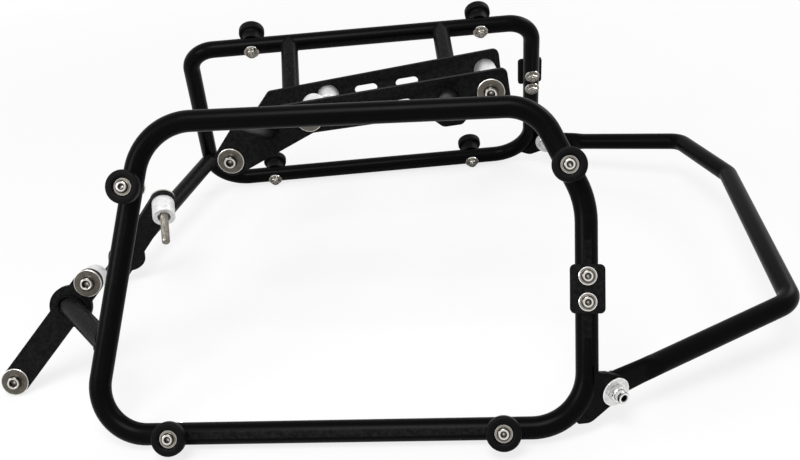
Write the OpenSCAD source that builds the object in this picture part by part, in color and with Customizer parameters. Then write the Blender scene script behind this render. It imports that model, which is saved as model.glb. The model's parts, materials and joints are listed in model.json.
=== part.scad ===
// Pannier frame set for a motorcycle: a left and a right tubular hoop, each
// with a bolt-on plate at the top and a foot bar at the front, joined behind
// the wheel by one bent crossbar. X points to the rear of the machine, Y to
// its right, Z up. The set stands on the edges of its bottom washers
// and on the ends of its foot bars.

/* [Tubes] */
// Outside diameter of every frame tube
tube_d = 18; // [16:0.5:22]
// Distance between the bottom bars of the two hoops, at the frame's middle
hoop_gap = 531.6; // [480:1:600]
// Lean of each hoop from vertical, top towards the machine
lean_angle = 26.9; // [15:0.5:32]
// Outward turn of each hoop towards the rear
toe_angle = 3.62; // [0:0.1:6]

/* [Left hoop] */
// Height from the bottom bar to the top bar, along the hoop
left_height = 252; // [230:1:280]
// Distance from the frame's middle forward to the bottom front corner
left_front = 229; // [210:1:250]
// Distance from the frame's middle back to the bottom rear corner
left_rear = 170; // [160:1:190]
// Backward rake of the front bar
left_front_rake = 11.6; // [5:0.5:15]
// Backward rake of the rear bar
left_rear_rake = 1.6; // [0:0.2:4]
// Distance from the frame's middle back to where the rear slope begins
left_slope_start = 139; // [130:1:150]
// Height at which the rear slope meets the rear bar
left_slope_end = 176; // [165:1:190]
// Bend radius at the top front corner
left_top_front_r = 48; // [30:1:60]
// Bend radius where the top bar turns down
left_top_rear_r = 38; // [25:1:50]
// Bend radius where the slope meets the rear bar
left_slope_r = 70; // [40:1:90]
// Bend radius at the bottom front corner
left_bottom_front_r = 38; // [25:1:50]
// Bend radius at the bottom rear corner
left_bottom_rear_r = 44; // [25:1:55]

/* [Right hoop] */
// Height from the bottom bar to the top bar, along the hoop
right_height = 216; // [200:1:250]
// Distance from the frame's middle forward to the bottom front corner
right_front = 209; // [195:1:225]
// Distance from the frame's middle back to the bottom rear corner
right_rear = 182.4; // [170:0.2:195]
// Backward rake of the front bar
right_front_rake = 2.6; // [0:0.1:6]
// Forward rake of the rear bar
right_rear_rake = 2.9; // [0:0.1:6]
// Bend radius of both top corners
right_top_r = 28; // [20:1:40]
// Bend radius of both bottom corners
right_bottom_r = 42; // [25:1:50]

/* [Case pucks] */
// Diameter of a puck
puck_d = 27.5; // [24:0.5:30]
// Thickness of a puck above the tube
puck_t = 16.5; // [12:0.5:20]
// Depth of the saddle that laps the tube
puck_saddle = 3; // [1:0.5:5]
// Edge rounding of a puck
puck_edge = 1.6; // [0.8:0.1:2.5]
// Places on the left top bar and the rear slope, along and up the hoop
left_puck_top_front = 200; // [190:1:205]
// Height of the puck on the rear slope
left_puck_slope = 203.6; // [198:0.2:210]
// Front puck of the left bottom bar, forward of the middle
left_puck_bottom_front = 158; // [140:1:165]
// Rear puck of the left bottom bar, back from the middle
left_puck_bottom_rear = 105; // [80:1:110]
// Front puck of the right top bar, forward of the middle
right_puck_top_front = 131; // [110:1:140]
// Rear puck of the right top bar, back from the middle
right_puck_top_rear = 115; // [100:1:125]
// Front puck of the right bottom bar, forward of the middle
right_puck_bottom_front = 134.5; // [115:0.5:140]
// Rear puck of the right bottom bar, back from the middle
right_puck_bottom_rear = 109; // [90:1:115]

/* [Lock tabs] */
// Length of a lock tab along the hoop
tab_l = 27; // [24:0.5:32]
// Height of a lock tab
tab_h = 38; // [34:0.5:44]
// Thickness of a lock tab
tab_t = 3; // [2:0.5:4]
// Corner radius of a lock tab
tab_r = 4; // [2:0.5:6]
// Distance between the two tab bolts
tab_pitch = 20; // [18:0.5:24]
// Height of the left tab's middle up the hoop
left_tab_height = 108.2; // [95:0.2:120]
// Height of the right tab's middle up the hoop
right_tab_height = 131; // [110:0.5:140]

/* [Upper plates] */
// Thickness of an upper plate
plate_t = 4; // [3:0.5:6]
// Distance from a hoop's top bar in to the middle of its plate
plate_standoff = 83; // [70:1:95]
// Drop from a hoop's top bar to the plate's middle bolt
plate_drop = 33; // [28:0.5:38]
// Middle bolt of the left plate, forward of the frame's middle
left_plate_x = 56.3; // [45:0.1:68]
// Middle bolt of the right plate, forward of the frame's middle
right_plate_x = 51.6; // [40:0.1:64]
// Rise of the left plate towards the rear
left_plate_rise = 6; // [2:0.1:8]
// Rise of the right plate towards the rear
right_plate_rise = 4.6; // [2:0.1:8]
// From the middle bolt back to the rear bolt
plate_rear_bolt = 161; // [150:1:170]
// From the middle bolt forward to the front bolt
plate_front_bolt = 79; // [70:1:90]
// Drop of the front bolt below the line of the other two
plate_front_drop = 29; // [24:0.5:36]
// Radius of the plate's front lobe
plate_lobe_r = 15; // [13:0.5:18]
// Height of the plate's top front corner above the line of its bolts
plate_top_front = 14; // [10:0.5:18]
// Height of the plate's top rear corner above the line of its bolts
plate_top_rear = 19; // [14:0.5:24]
// Depth of the plate's lower edge below the line of its bolts
plate_bottom = 14; // [12:0.5:18]
// Depth of the lobe under the rear stub below the line of the bolts
plate_lobe_depth = 26; // [20:0.5:30]
// From the rear bolt to the plate's rear end
plate_end = 16; // [13:0.5:20]
// From the middle bolt back to the first slot
slot_first = 39; // [30:0.5:48]
// From the middle bolt back to the second slot
slot_second = 81; // [72:0.5:90]
// Length of an adjusting slot
slot_l = 23; // [18:0.5:28]
// Width of an adjusting slot
slot_w = 9.4; // [8:0.2:11]

/* [Stubs] */
// Front stub, back from the plate's middle bolt
front_stub_x = -39; // [-45:0.5:-34]
// Front stub, below the line of the bolts
front_stub_drop = 4; // [0:0.5:8]
// Rear stub, back from the plate's middle bolt
rear_stub_x = 124; // [115:0.5:130]
// Rear stub, below the line of the bolts
rear_stub_drop = 3; // [0:0.5:8]

/* [Foot mounts] */
// Diameter of the disc of a foot bar, round its arm
flange_d = 37; // [32:0.5:40]
// Width of a foot bar
foot_bar_w = 24; // [20:0.5:28]
// Thickness of a foot bar
foot_bar_t = 5; // [4:0.5:8]
// From the disc to the far bolt of a foot bar
foot_long_arm = 86; // [75:1:95]
// From the disc to the near bolt of a foot bar
foot_short_arm = 26.8; // [24:0.2:30]

/* [Crossbar] */
// Length of the crossbar's left arm, to the corner
cross_left_arm = 187.3; // [170:0.5:200]
// Inward heading of both arms
cross_heading = 28.1; // [20:0.1:35]
// Length of the crossbar's right arm, to its first corner
cross_right_arm = 162.8; // [150:0.2:180]
// Length of the slanted piece at the right
cross_slant = 107.8; // [90:0.2:120]
// Heading of the slanted piece from straight across
cross_slant_angle = 16.8; // [10:0.2:25]
// Rise of the crossbar's plane towards the rear
cross_rise = 10.2; // [5:0.1:15]
// Bend radius of the crossbar's corners
cross_bend_r = 22; // [15:1:30]
// Length of the flattened part of each end
paddle_l = 30; // [24:1:40]
// Height of the flattened ends
paddle_w = 24; // [20:0.5:28]
// Thickness of the flattened ends
paddle_t = 6; // [4:0.5:8]
// Length over which a flattened end grows round
paddle_blend = 26; // [15:1:35]
// Thickness of a gusset
gusset_t = 5; // [4:0.5:6]
// Height of the crossbar's bolts above the bottom bars
cross_bolt_height = 16.5; // [12:0.5:22]

/* [Fasteners] */
// Diameter of the case puck and tab bolts
small_bolt_d = 6; // [5:0.5:8]
// Diameter of the mounting bolts
big_bolt_d = 8; // [6:0.5:10]
// Diameter of the broad washers
big_washer_d = 24; // [20:0.5:28]
// Thickness of the broad washers
big_washer_t = 2; // [1.5:0.1:3]
// Diameter of the spacers
spacer_d = 22; // [18:0.5:24]
// Length of the upper plates' spacers
spacer_l = 30; // [20:0.5:40]
// Length of the foot bars' spacers
foot_spacer_l = 21; // [15:0.5:30]
// Free length of the right foot bar's long bolt
stud_l = 34; // [20:1:40]
// Free length of the foot bars' lower bolts, past their nuts
lower_tip = 7; // [5:0.5:12]

/* [Hidden] */
$fn = 64;

LEFT = "left";
RIGHT = "right";
tube_r = tube_d / 2;

// Fastener sizes that follow the bolt diameters
hole_clear = 0.25;
small_bolt_r = small_bolt_d / 2;
big_bolt_r = big_bolt_d / 2;
small_washer_r = small_bolt_d * 4 / 3;
small_washer_t = small_bolt_d * 0.25;
small_nut_r = small_bolt_d * 0.96;
small_nut_t = small_bolt_d * 0.85;
small_head_r = small_bolt_d * 0.88;
small_head_t = small_bolt_d * 0.55;
big_head_r = big_bolt_d * 0.83;
big_head_t = big_bolt_d * 0.6;
big_nut_r = big_bolt_d * 0.93;
big_nut_t = big_bolt_d * 0.8;
big_tip = big_bolt_d * 0.7;
spacer_well = 8;
puck_washer_r = 7.3;
puck_washer_t = 1.2;
puck_recess_r = 7.5;
puck_recess_d = small_head_t + 0.6;
washer_seat = 0.6;
// A mounting bolt is this much thinner inside than at its free end
shank_step = 0.5;
shank_gap = 0.6;

// The bottom bars' inner washers are the lowest points, so the bars lie this high
washer_reach = tube_r - washer_seat + small_washer_t;
bar_height = washer_reach * sin(lean_angle) + small_washer_r * cos(lean_angle);

// The frame's middle is moved to the middle of its whole box
centre_x = 23.9;
centre_y = 0;

steel = [0.06, 0.06, 0.065];
rubber = [0.035, 0.035, 0.035];
zinc = [0.82, 0.82, 0.8];
washer_grey = [0.45, 0.42, 0.38];

// Frames of reference

// Everything is drawn round the frame's middle and moved here
module placed() {
    translate([-centre_x, -centre_y, 0]) children();
}

module on_side(side) {
    placed() mirror([0, side == RIGHT ? 1 : 0, 0]) children();
}

// A hoop's own frame: X back along the bottom bar, Y up the hoop, Z outward
module in_hoop(side) {
    on_side(side)
        translate([0, -hoop_gap / 2, bar_height])
            rotate([0, 0, -toe_angle])
                rotate([90 - lean_angle, 0, 0])
                    children();
}

// A point of a hoop's frame, as drawn before the side is mirrored
function hoop_point(u, v, w = 0) =
    let (inward = v * sin(lean_angle) - w * cos(lean_angle))
    [u * cos(toe_angle) + inward * sin(toe_angle),
     -hoop_gap / 2 - u * sin(toe_angle) + inward * cos(toe_angle),
     bar_height + v * cos(lean_angle) + w * sin(lean_angle)];

// Plane geometry

function unit(v) = v / norm(v);
function turn(a, b, c) = acos(max(-1, min(1, unit(b - a) * unit(c - b))));
function setback(a, b, c, r) = r * tan(turn(a, b, c) / 2);

// A straight round bar between two points
module rod(p, q, r) {
    v = q - p;
    translate(p)
        rotate([0, acos(v.z / norm(v)), atan2(v.y, v.x)])
            cylinder(r = r, h = norm(v));
}

function bend_middle(a, b, c, r) = b + unit(unit(c - b) - unit(b - a)) * r / cos(turn(a, b, c) / 2);

// The bend at corner b of a path in the XY plane
module bend(a, b, c, bend_r, r) {
    first = unit(b - a);
    second = unit(c - b);
    angle = turn(a, b, c);
    left_turn = first.x * second.y - first.y * second.x > 0;
    middle = bend_middle(a, b, c, bend_r);
    start = left_turn ? b - first * setback(a, b, c, bend_r) : b + second * setback(a, b, c, bend_r);
    heading = atan2(start.y - middle.y, start.x - middle.x);
    translate([middle.x, middle.y, 0])
        rotate([0, 0, heading])
            rotate_extrude(angle = angle)
                translate([bend_r, 0])
                    circle(r = r);
}

function ring(points, i) = points[(i + len(points)) % len(points)];

// A straight piece of a bent bar: its ends lap into the bends, a hair thinner
bar_lap = 0.5;
bar_step = 0.02;

module straight(start, end, r) {
    lap = unit(end - start) * bar_lap;
    p = start - lap;
    q = end + lap;
    rod([p.x, p.y, 0], [q.x, q.y, 0], r - bar_step);
}

// A closed bent bar through the corners of a path in the XY plane
module closed_bar(points, radii, r) {
    n = len(points);
    for (i = [0 : n - 1]) {
        a = ring(points, i - 1);
        b = points[i];
        c = ring(points, i + 1);
        d = ring(points, i + 2);
        way = unit(c - b);
        bend(a, b, c, radii[i], r);
        straight(b + way * setback(a, b, c, radii[i]), c - way * setback(b, c, d, ring(radii, i + 1)), r);
    }
}

// Hoops

left_front_top = left_front - left_height * tan(left_front_rake);
left_slope_x = left_rear + left_slope_end * tan(left_rear_rake);
left_corners = [
    [-left_front, 0],
    [left_rear, 0],
    [left_slope_x, left_slope_end],
    [left_slope_start, left_height],
    [-left_front_top, left_height]
];
left_radii = [left_bottom_front_r, left_bottom_rear_r, left_slope_r, left_top_rear_r, left_top_front_r];

right_front_top = right_front - right_height * tan(right_front_rake);
right_rear_top = right_rear - right_height * tan(right_rear_rake);
right_corners = [
    [-right_front, 0],
    [right_rear, 0],
    [right_rear_top, right_height],
    [-right_front_top, right_height]
];
right_radii = [right_bottom_r, right_bottom_r, right_top_r, right_top_r];

function hoop_corners(side) = side == LEFT ? left_corners : right_corners;
function hoop_radii(side) = side == LEFT ? left_radii : right_radii;
function hoop_height(side) = side == LEFT ? left_height : right_height;

module hoop_bar(side) {
    closed_bar(hoop_corners(side), hoop_radii(side), tube_r);
}

// Each puck: place along and up the hoop, and the heading of its bar
left_slope_heading = atan2(left_height - left_slope_end, left_slope_start - left_slope_x);
left_pucks = [
    [-left_front + left_puck_top_front * tan(left_front_rake), left_puck_top_front, 90 - left_front_rake],
    [left_slope_start + (left_height - left_puck_slope) / tan(180 - left_slope_heading),
     left_puck_slope, left_slope_heading],
    [-left_puck_bottom_front, 0, 0],
    [left_puck_bottom_rear, 0, 0]
];
right_pucks = [
    [-right_puck_top_front, right_height, 0],
    [right_puck_top_rear, right_height, 0],
    [-right_puck_bottom_front, 0, 0],
    [right_puck_bottom_rear, 0, 0]
];
function pucks(side) = side == LEFT ? left_pucks : right_pucks;

// Each lock tab: place of its middle, and the heading of its bar
left_tab = [left_rear + left_tab_height * tan(left_rear_rake), left_tab_height, 90 - left_rear_rake];
right_tab = [right_rear - right_tab_height * tan(right_rear_rake), right_tab_height, 90 + right_rear_rake];
function tab(side) = side == LEFT ? left_tab : right_tab;

// Puts children at a place of the hoop, with X along the bar
module at_bar(place) {
    translate([place.x, place.y, 0]) rotate([0, 0, place.z]) children();
}

module at_tab_bolts() {
    for (end = [-1, 1]) translate([end * tab_pitch / 2, 0, 0]) children();
}

module hoop(side) {
    color(steel) in_hoop(side) difference() {
        hoop_bar(side);
        for (place = pucks(side)) at_bar(place) {
            through_hole(small_bolt_r);
            washer_flat(small_washer_r);
        }
        at_bar(tab(side)) {
            translate([-tab_h, -tab_l, tube_r - washer_seat]) cube([2 * tab_h, 2 * tab_l, tube_r]);
            at_tab_bolts() {
                through_hole(small_bolt_r);
                washer_flat(small_washer_r);
            }
        }
    }
}

module through_hole(bolt_r) {
    translate([0, 0, -2 * tube_r]) cylinder(r = bolt_r + hole_clear, h = 4 * tube_r);
}

// The spot-faced seat of an inner washer
module washer_flat(washer_r) {
    translate([0, 0, -2 * tube_r]) cylinder(r = washer_r + hole_clear, h = tube_r + washer_seat);
}

// Pucks

puck_top = tube_r + puck_t;
// The puck is this much slimmer from its saddle to this height above the tube
relief_step = 0.4;
puck_relief = 1.5;

module puck(side, index) {
    base = tube_r - puck_saddle;
    waist = tube_r + puck_relief;
    outer = puck_d / 2;
    color(rubber) in_hoop(side) at_bar(pucks(side)[index]) difference() {
        rotate_extrude() polygon([
            [0, base], [outer - relief_step, base], [outer - relief_step, waist], [outer, waist],
            [outer, puck_top - puck_edge],
            [outer - puck_edge * 0.3, puck_top - puck_edge * 0.3],
            [outer - puck_edge, puck_top], [0, puck_top]
        ]);
        rotate([0, 90, 0]) cylinder(r = tube_r, h = 2 * puck_d, center = true);
        through_hole(small_bolt_r);
        translate([0, 0, puck_top - puck_recess_d]) cylinder(r = puck_recess_r, h = puck_recess_d + 1);
    }
}

// Fasteners, each along Z with the outside of the frame up

// A button head screw: the head sits on seat, the tip reaches down to tip
module button_screw(bolt_r, head_r, head_t, seat, tip) {
    difference() {
        union() {
            translate([0, 0, seat]) rotate_extrude() polygon([
                [0, 0], [head_r, 0], [head_r, head_t * 0.35],
                [head_r * 0.86, head_t * 0.75], [head_r * 0.62, head_t], [0, head_t]
            ]);
            translate([0, 0, tip + bolt_r * 0.25]) cylinder(r = bolt_r, h = seat - tip - bolt_r * 0.25 + head_t * 0.2);
            translate([0, 0, tip]) cylinder(r1 = bolt_r * 0.75, r2 = bolt_r, h = bolt_r * 0.25);
        }
        translate([0, 0, seat + head_t * 0.4]) cylinder(r = bolt_r * 0.72, h = head_t, $fn = 6);
    }
}

// A mounting bolt: full size only past the gap behind the last piece it holds
module stepped_screw(seat, held, free) {
    button_screw(big_bolt_r - shank_step, big_head_r, big_head_t, seat, held - free);
    translate([0, 0, held - free + big_bolt_r * 0.25]) cylinder(r = big_bolt_r, h = free - big_bolt_r * 0.25 - shank_gap);
}

module washer(bolt_r, washer_r, washer_t) {
    difference() {
        cylinder(r = washer_r, h = washer_t);
        translate([0, 0, -1]) cylinder(r = bolt_r + hole_clear, h = washer_t + 2);
    }
}

// A lock nut with its domed collar on the side away from the work, downward
module lock_nut(bolt_r, nut_r, nut_t) {
    hex_t = nut_t * 0.72;
    difference() {
        union() {
            translate([0, 0, -hex_t]) cylinder(r = nut_r, h = hex_t, $fn = 6);
            translate([0, 0, -nut_t]) cylinder(r1 = nut_r * 0.62, r2 = nut_r * 0.82, h = nut_t - hex_t);
        }
        translate([0, 0, -nut_t - 1]) cylinder(r = bolt_r, h = nut_t + 2);
    }
}

inner_seat = -tube_r + washer_seat;
small_nut_seat = inner_seat - small_washer_t;
// The screw tips stay level with the nuts, so the nuts carry the frame
small_tip_z = small_nut_seat - small_nut_t;
tab_seat = tube_r - washer_seat;
puck_head_seat = puck_top - puck_recess_d + puck_washer_t;

module puck_bolts(side) {
    color(zinc) in_hoop(side) for (place = pucks(side)) at_bar(place)
        button_screw(small_bolt_r, small_head_r, small_head_t, puck_head_seat, small_tip_z);
}

module puck_washers(side) {
    color(zinc) in_hoop(side) for (place = pucks(side)) at_bar(place) {
        translate([0, 0, small_nut_seat]) washer(small_bolt_r, small_washer_r, small_washer_t);
        translate([0, 0, puck_top - puck_recess_d]) washer(small_bolt_r, puck_washer_r, puck_washer_t);
    }
}

module puck_nuts(side) {
    color(zinc) in_hoop(side) for (place = pucks(side)) at_bar(place)
        translate([0, 0, small_nut_seat]) lock_nut(small_bolt_r, small_nut_r, small_nut_t);
}

// Lock tabs

module rounded_plate(length, height, thickness, r) {
    linear_extrude(thickness) union() {
        square([length - 2 * r, height], center = true);
        square([length, height - 2 * r], center = true);
        for (x = [-1, 1], y = [-1, 1])
            translate([x * (length / 2 - r), y * (height / 2 - r)]) circle(r = r);
    }
}

module lock_tab(side) {
    color(steel) in_hoop(side) at_bar(tab(side)) difference() {
        translate([0, 0, tab_seat]) rounded_plate(tab_h, tab_l, tab_t, tab_r);
        at_tab_bolts() through_hole(small_bolt_r);
    }
}

tab_head_seat = tab_seat + tab_t + small_washer_t;

module tab_bolts(side) {
    color(zinc) in_hoop(side) at_bar(tab(side)) at_tab_bolts()
        button_screw(small_bolt_r, small_head_r, small_head_t, tab_head_seat, small_tip_z);
}

module tab_washers(side) {
    color(zinc) in_hoop(side) at_bar(tab(side)) at_tab_bolts() {
        translate([0, 0, tab_seat + tab_t]) washer(small_bolt_r, small_washer_r, small_washer_t);
        translate([0, 0, small_nut_seat]) washer(small_bolt_r, small_washer_r, small_washer_t);
    }
}

module tab_nuts(side) {
    color(zinc) in_hoop(side) at_bar(tab(side)) at_tab_bolts()
        translate([0, 0, small_nut_seat]) lock_nut(small_bolt_r, small_nut_r, small_nut_t);
}

// Upper plates

function plate_x(side) = side == LEFT ? left_plate_x : right_plate_x;
function plate_rise(side) = side == LEFT ? left_plate_rise : right_plate_rise;
function plate_origin(side) =
    hoop_point(-plate_x(side), hoop_height(side)) +
    [plate_standoff * sin(toe_angle), plate_standoff * cos(toe_angle), -plate_drop];

// A plate's own frame: X back along the line of its bolts, Y up, Z outward
module in_plate(side) {
    on_side(side)
        translate(plate_origin(side))
            rotate([0, 0, -toe_angle])
                rotate([90, 0, 0])
                    rotate([0, 0, plate_rise(side)])
                        children();
}

// A point of a plate's frame, as drawn before the side is mirrored
function plate_point(side, x, y, z = 0) =
    let (rise = plate_rise(side),
         along = x * cos(rise) - y * sin(rise),
         up = x * sin(rise) + y * cos(rise))
    plate_origin(side) + [
        along * cos(toe_angle) - z * sin(toe_angle),
        -along * sin(toe_angle) - z * cos(toe_angle),
        up
    ];

front_bolt = [-plate_front_bolt, -plate_front_drop];
plate_bolt_places = [front_bolt, [0, 0], [plate_rear_bolt, 0]];
slot_places = [[slot_first, 0], [slot_second, 0]];

// Corner circles of the plate's outline
edge_r = 6;
edge_fn = 32;
bottom_r = 4;
top_front_corner = [-plate_front_bolt + 22, plate_top_front - edge_r];
bottom_front_corner = [0, bottom_r - plate_bottom];
rear_corner_x = plate_rear_bolt + plate_end - edge_r;

module corner(place, r) {
    translate(place) circle(r = r, $fn = edge_fn);
}

module plate_outline() {
    hull() {
        corner(front_bolt, plate_lobe_r);
        corner(top_front_corner, edge_r);
        corner(bottom_front_corner, bottom_r);
    }
    hull() {
        corner(top_front_corner, edge_r);
        corner(bottom_front_corner, bottom_r);
        corner([rear_corner_x, plate_top_rear - edge_r], edge_r);
        corner([rear_corner_x, edge_r - plate_bottom], edge_r);
    }
    hull() for (end = [-1, 1]) {
        corner([rear_stub_x + end * edge_r, edge_r - plate_lobe_depth], edge_r);
        corner([rear_stub_x + end * 3 * edge_r, edge_r - plate_bottom], edge_r);
    }
}

module slot() {
    hull() for (end = [-1, 1]) translate([end * (slot_l - slot_w) / 2, 0]) circle(r = slot_w / 2);
}

module upper_plate(side) {
    color(steel) in_plate(side) difference() {
        translate([0, 0, -plate_t / 2]) linear_extrude(plate_t) difference() {
            plate_outline();
            for (place = slot_places) translate(place) slot();
        }
        for (place = plate_bolt_places) translate(place) through_hole(big_bolt_r);
    }
}

module plate_bolts(side) {
    color(zinc) in_plate(side) for (place = plate_bolt_places) translate(place)
        stepped_screw(plate_t / 2 + big_washer_t, -plate_t / 2 - spacer_l, big_tip);
}

module plate_washers(side) {
    color(washer_grey) in_plate(side) for (place = plate_bolt_places) translate([place.x, place.y, plate_t / 2])
        washer(big_bolt_r, big_washer_d / 2, big_washer_t);
}

// A turned spacer, from the work downward, with an eased end and a well round the bolt's tip
module spacer(length) {
    ease = 0.8;
    difference() {
        rotate_extrude() polygon([
            [0, 0], [spacer_d / 2, 0], [spacer_d / 2, ease - length],
            [spacer_d / 2 - ease, -length], [0, -length]
        ]);
        translate([0, 0, -length - 1]) cylinder(r = big_bolt_r + hole_clear, h = length + 2);
        translate([0, 0, -length - 1]) cylinder(r = spacer_d * 0.28, h = spacer_well + 1);
    }
}

module plate_spacers(side) {
    color(zinc) in_plate(side) for (place = plate_bolt_places) translate([place.x, place.y, -plate_t / 2]) spacer(spacer_l);
}

// Stubs between the hoops' top bars and the plates

module stub(side, x, drop) {
    hoop_end_x = x - plate_x(side);
    start = hoop_point(hoop_end_x, hoop_height(side));
    end = plate_point(side, x, -drop);
    reach = end - start;
    color(steel) difference() {
        on_side(side) rod(start, end + unit(reach) * tube_d, tube_r);
        in_hoop(side) translate([hoop_end_x, hoop_height(side), 0])
            rotate([0, 90, 0]) cylinder(r = tube_r, h = 6 * tube_d, center = true);
        in_plate(side) translate([x, -drop, plate_t / 2 - 2 * tube_d])
            cylinder(r = 2 * tube_d, h = 2 * tube_d);
    }
}

// Foot mounts. Each side: the disc's place from the arm's root, the heading,
// lean and turn of the bar, and the arm's root on the hoop

left_foot_offset = [-50.3, 70.3, -2.8];
right_foot_offset = [-57.2, 214, -15.4];
left_foot_root = [-left_front + 73.3 * tan(left_front_rake), 73.3];
right_foot_root = [-right_front + 5, 42.3];
left_foot_aim = [2, 16.4, 47.9];
right_foot_aim = [-11.4, 19.4, 55.8];

function foot_root(side) = side == LEFT
    ? hoop_point(left_foot_root.x, left_foot_root.y)
    : hoop_point(right_foot_root.x, right_foot_root.y);
function foot_origin(side) = foot_root(side) + (side == LEFT ? left_foot_offset : right_foot_offset);
function foot_aim(side) = side == LEFT ? left_foot_aim : right_foot_aim;
function foot_up_arm(side) = side == LEFT ? foot_short_arm : foot_long_arm;
function foot_down_arm(side) = side == LEFT ? foot_long_arm : foot_short_arm;

// A foot mount's own frame: X up along the bar, Z outward, the bar's outer face at 0
module in_foot(side) {
    aim = foot_aim(side);
    on_side(side)
        translate(foot_origin(side))
            rotate([0, 0, aim.x])
                rotate([90 - aim.y, 0, 0])
                    rotate([0, 0, aim.z])
                        children();
}

module foot_arm(side) {
    color(steel) difference() {
        on_side(side) rod(foot_root(side), foot_origin(side), tube_r);
        in_hoop(side) hoop_bar(side);
        in_foot(side) translate([0, 0, -3 * tube_d]) cylinder(r = 4 * tube_d, h = 3 * tube_d);
    }
}

function foot_bolt_places(side) = [foot_up_arm(side), -foot_down_arm(side)];

module foot_bar(side) {
    ends = foot_bolt_places(side);
    color(steel) in_foot(side) difference() {
        translate([0, 0, -foot_bar_t]) linear_extrude(foot_bar_t) union() {
            translate([ends[1], -foot_bar_w / 2]) square([ends[0] - ends[1], foot_bar_w]);
            for (x = ends) translate([x, 0]) circle(r = foot_bar_w / 2);
            circle(r = flange_d / 2);
        }
        for (x = ends) translate([x, 0, 0]) through_hole(big_bolt_r);
    }
}

// The upper bolt holds a spacer, the lower one a lock nut
module foot_bolts(side) {
    ends = foot_bolt_places(side);
    free = side == RIGHT ? stud_l : big_tip;
    color(zinc) in_foot(side) {
        translate([ends[0], 0, 0])
            stepped_screw(big_washer_t, -foot_bar_t - foot_spacer_l, free);
        translate([ends[1], 0, 0])
            stepped_screw(big_washer_t, -foot_bar_t - big_nut_t, lower_tip);
    }
}

module foot_washers(side) {
    color(washer_grey) in_foot(side) for (x = foot_bolt_places(side)) translate([x, 0, 0])
        washer(big_bolt_r, big_washer_d / 2, big_washer_t);
}

module foot_spacer(side) {
    color(zinc) in_foot(side) translate([foot_up_arm(side), 0, -foot_bar_t]) spacer(foot_spacer_l);
}

module foot_nut(side) {
    color(zinc) in_foot(side) translate([-foot_down_arm(side), 0, -foot_bar_t])
        lock_nut(big_bolt_r - shank_step, big_nut_r, big_nut_t);
}

// Crossbar and gussets

left_cross_end = [-3.7, -255.6];
right_cross_end = [-1.1, 255.7];
cross_plane_x = 199;

// The crossbar's own frame: X back and up its plane, Y across
module in_cross() {
    placed()
        translate([cross_plane_x, 0, bar_height + cross_bolt_height])
            rotate([0, -cross_rise, 0])
                children();
}

left_arm_way = [cos(cross_heading), sin(cross_heading)];
right_arm_way = [cos(cross_heading), -sin(cross_heading)];
slant_way = [sin(cross_slant_angle), -cos(cross_slant_angle)];
cross_left_corner = left_cross_end + left_arm_way * cross_left_arm;
cross_right_corner = right_cross_end + right_arm_way * cross_right_arm;
cross_slant_corner = cross_right_corner + slant_way * cross_slant;

module at_cross_end(side) {
    bolt = side == LEFT ? left_cross_end : right_cross_end;
    in_cross() translate([bolt.x, bolt.y, 0])
        mirror([0, side == RIGHT ? 1 : 0, 0])
            rotate([0, 0, cross_heading])
                children();
}

// The bolt's axis in a cross end's frame is Y, inner side positive
module along_cross_bolt() {
    rotate([90, 0, 0]) children();
}

arm_start = paddle_l + paddle_blend;
gusset_seat = paddle_t / 2;

// A swaged end: a flat eye, its tapered shoulders, and the cone up to the tube
module cross_paddle() {
    step = 0.3;
    along_cross_bolt() translate([0, 0, -paddle_t / 2]) linear_extrude(paddle_t) union() {
        circle(r = paddle_w / 2);
        polygon([
            [0, -paddle_w / 2], [paddle_l, -paddle_w / 2], [arm_start, -tube_r * 0.9],
            [arm_start, tube_r * 0.9], [paddle_l, paddle_w / 2], [0, paddle_w / 2]
        ]);
    }
    translate([paddle_l, 0, 0]) rotate([0, 90, 0])
        cylinder(r1 = paddle_t / 2 - step, r2 = tube_r - step, h = paddle_blend + step);
}

module rear_crossbar() {
    a = left_cross_end + left_arm_way * arm_start;
    b = cross_left_corner;
    c = cross_slant_corner;
    d = cross_right_corner;
    e = right_cross_end + right_arm_way * arm_start;
    path = [a, b, c, d, e];
    color(steel) difference() {
        union() {
            in_cross() {
                for (i = [1 : 3]) bend(path[i - 1], path[i], path[i + 1], cross_bend_r, tube_r);
                for (i = [0 : 3]) {
                    way = unit(path[i + 1] - path[i]);
                    start = path[i] + way * (i == 0 ? 0 : setback(path[i - 1], path[i], path[i + 1], cross_bend_r));
                    end = path[i + 1] - way * (i == 3 ? 0 : setback(path[i], path[i + 1], path[i + 2], cross_bend_r));
                    straight(start, end, tube_r);
                }
            }
            at_cross_end(LEFT) cross_paddle();
            at_cross_end(RIGHT) cross_paddle();
        }
        for (side = [LEFT, RIGHT]) at_cross_end(side) along_cross_bolt() through_hole(big_bolt_r);
    }
}

// The space inside a hoop's bottom rear corner, up to the tube's middle
module corner_inside(side) {
    corners = hoop_corners(side);
    r = hoop_radii(side)[1];
    middle = bend_middle(corners[0], corners[1], corners[2], r);
    deep = 8 * tube_d;
    translate([0, 0, -deep / 2]) {
        translate([middle.x, middle.y, 0]) cylinder(r = r, h = deep);
        translate([middle.x - r, 0, 0]) cube([r, 2 * r, deep]);
        translate([middle.x - r, middle.y, 0]) cube([2 * r - tube_r / 2, 2 * r, deep]);
    }
}

gusset_r = paddle_w / 2 + 1.5;

module gusset(side) {
    color(steel) difference() {
        at_cross_end(side) along_cross_bolt() difference() {
            translate([0, 0, gusset_seat]) linear_extrude(gusset_t) hull() {
                circle(r = gusset_r, $fn = 32);
                translate([-24, 24]) circle(r = 3, $fn = 32);
                translate([-32, -14]) circle(r = 6, $fn = 32);
            }
            through_hole(big_bolt_r);
        }
        in_hoop(side) {
            hoop_bar(side);
            corner_inside(side);
        }
    }
}

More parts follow.
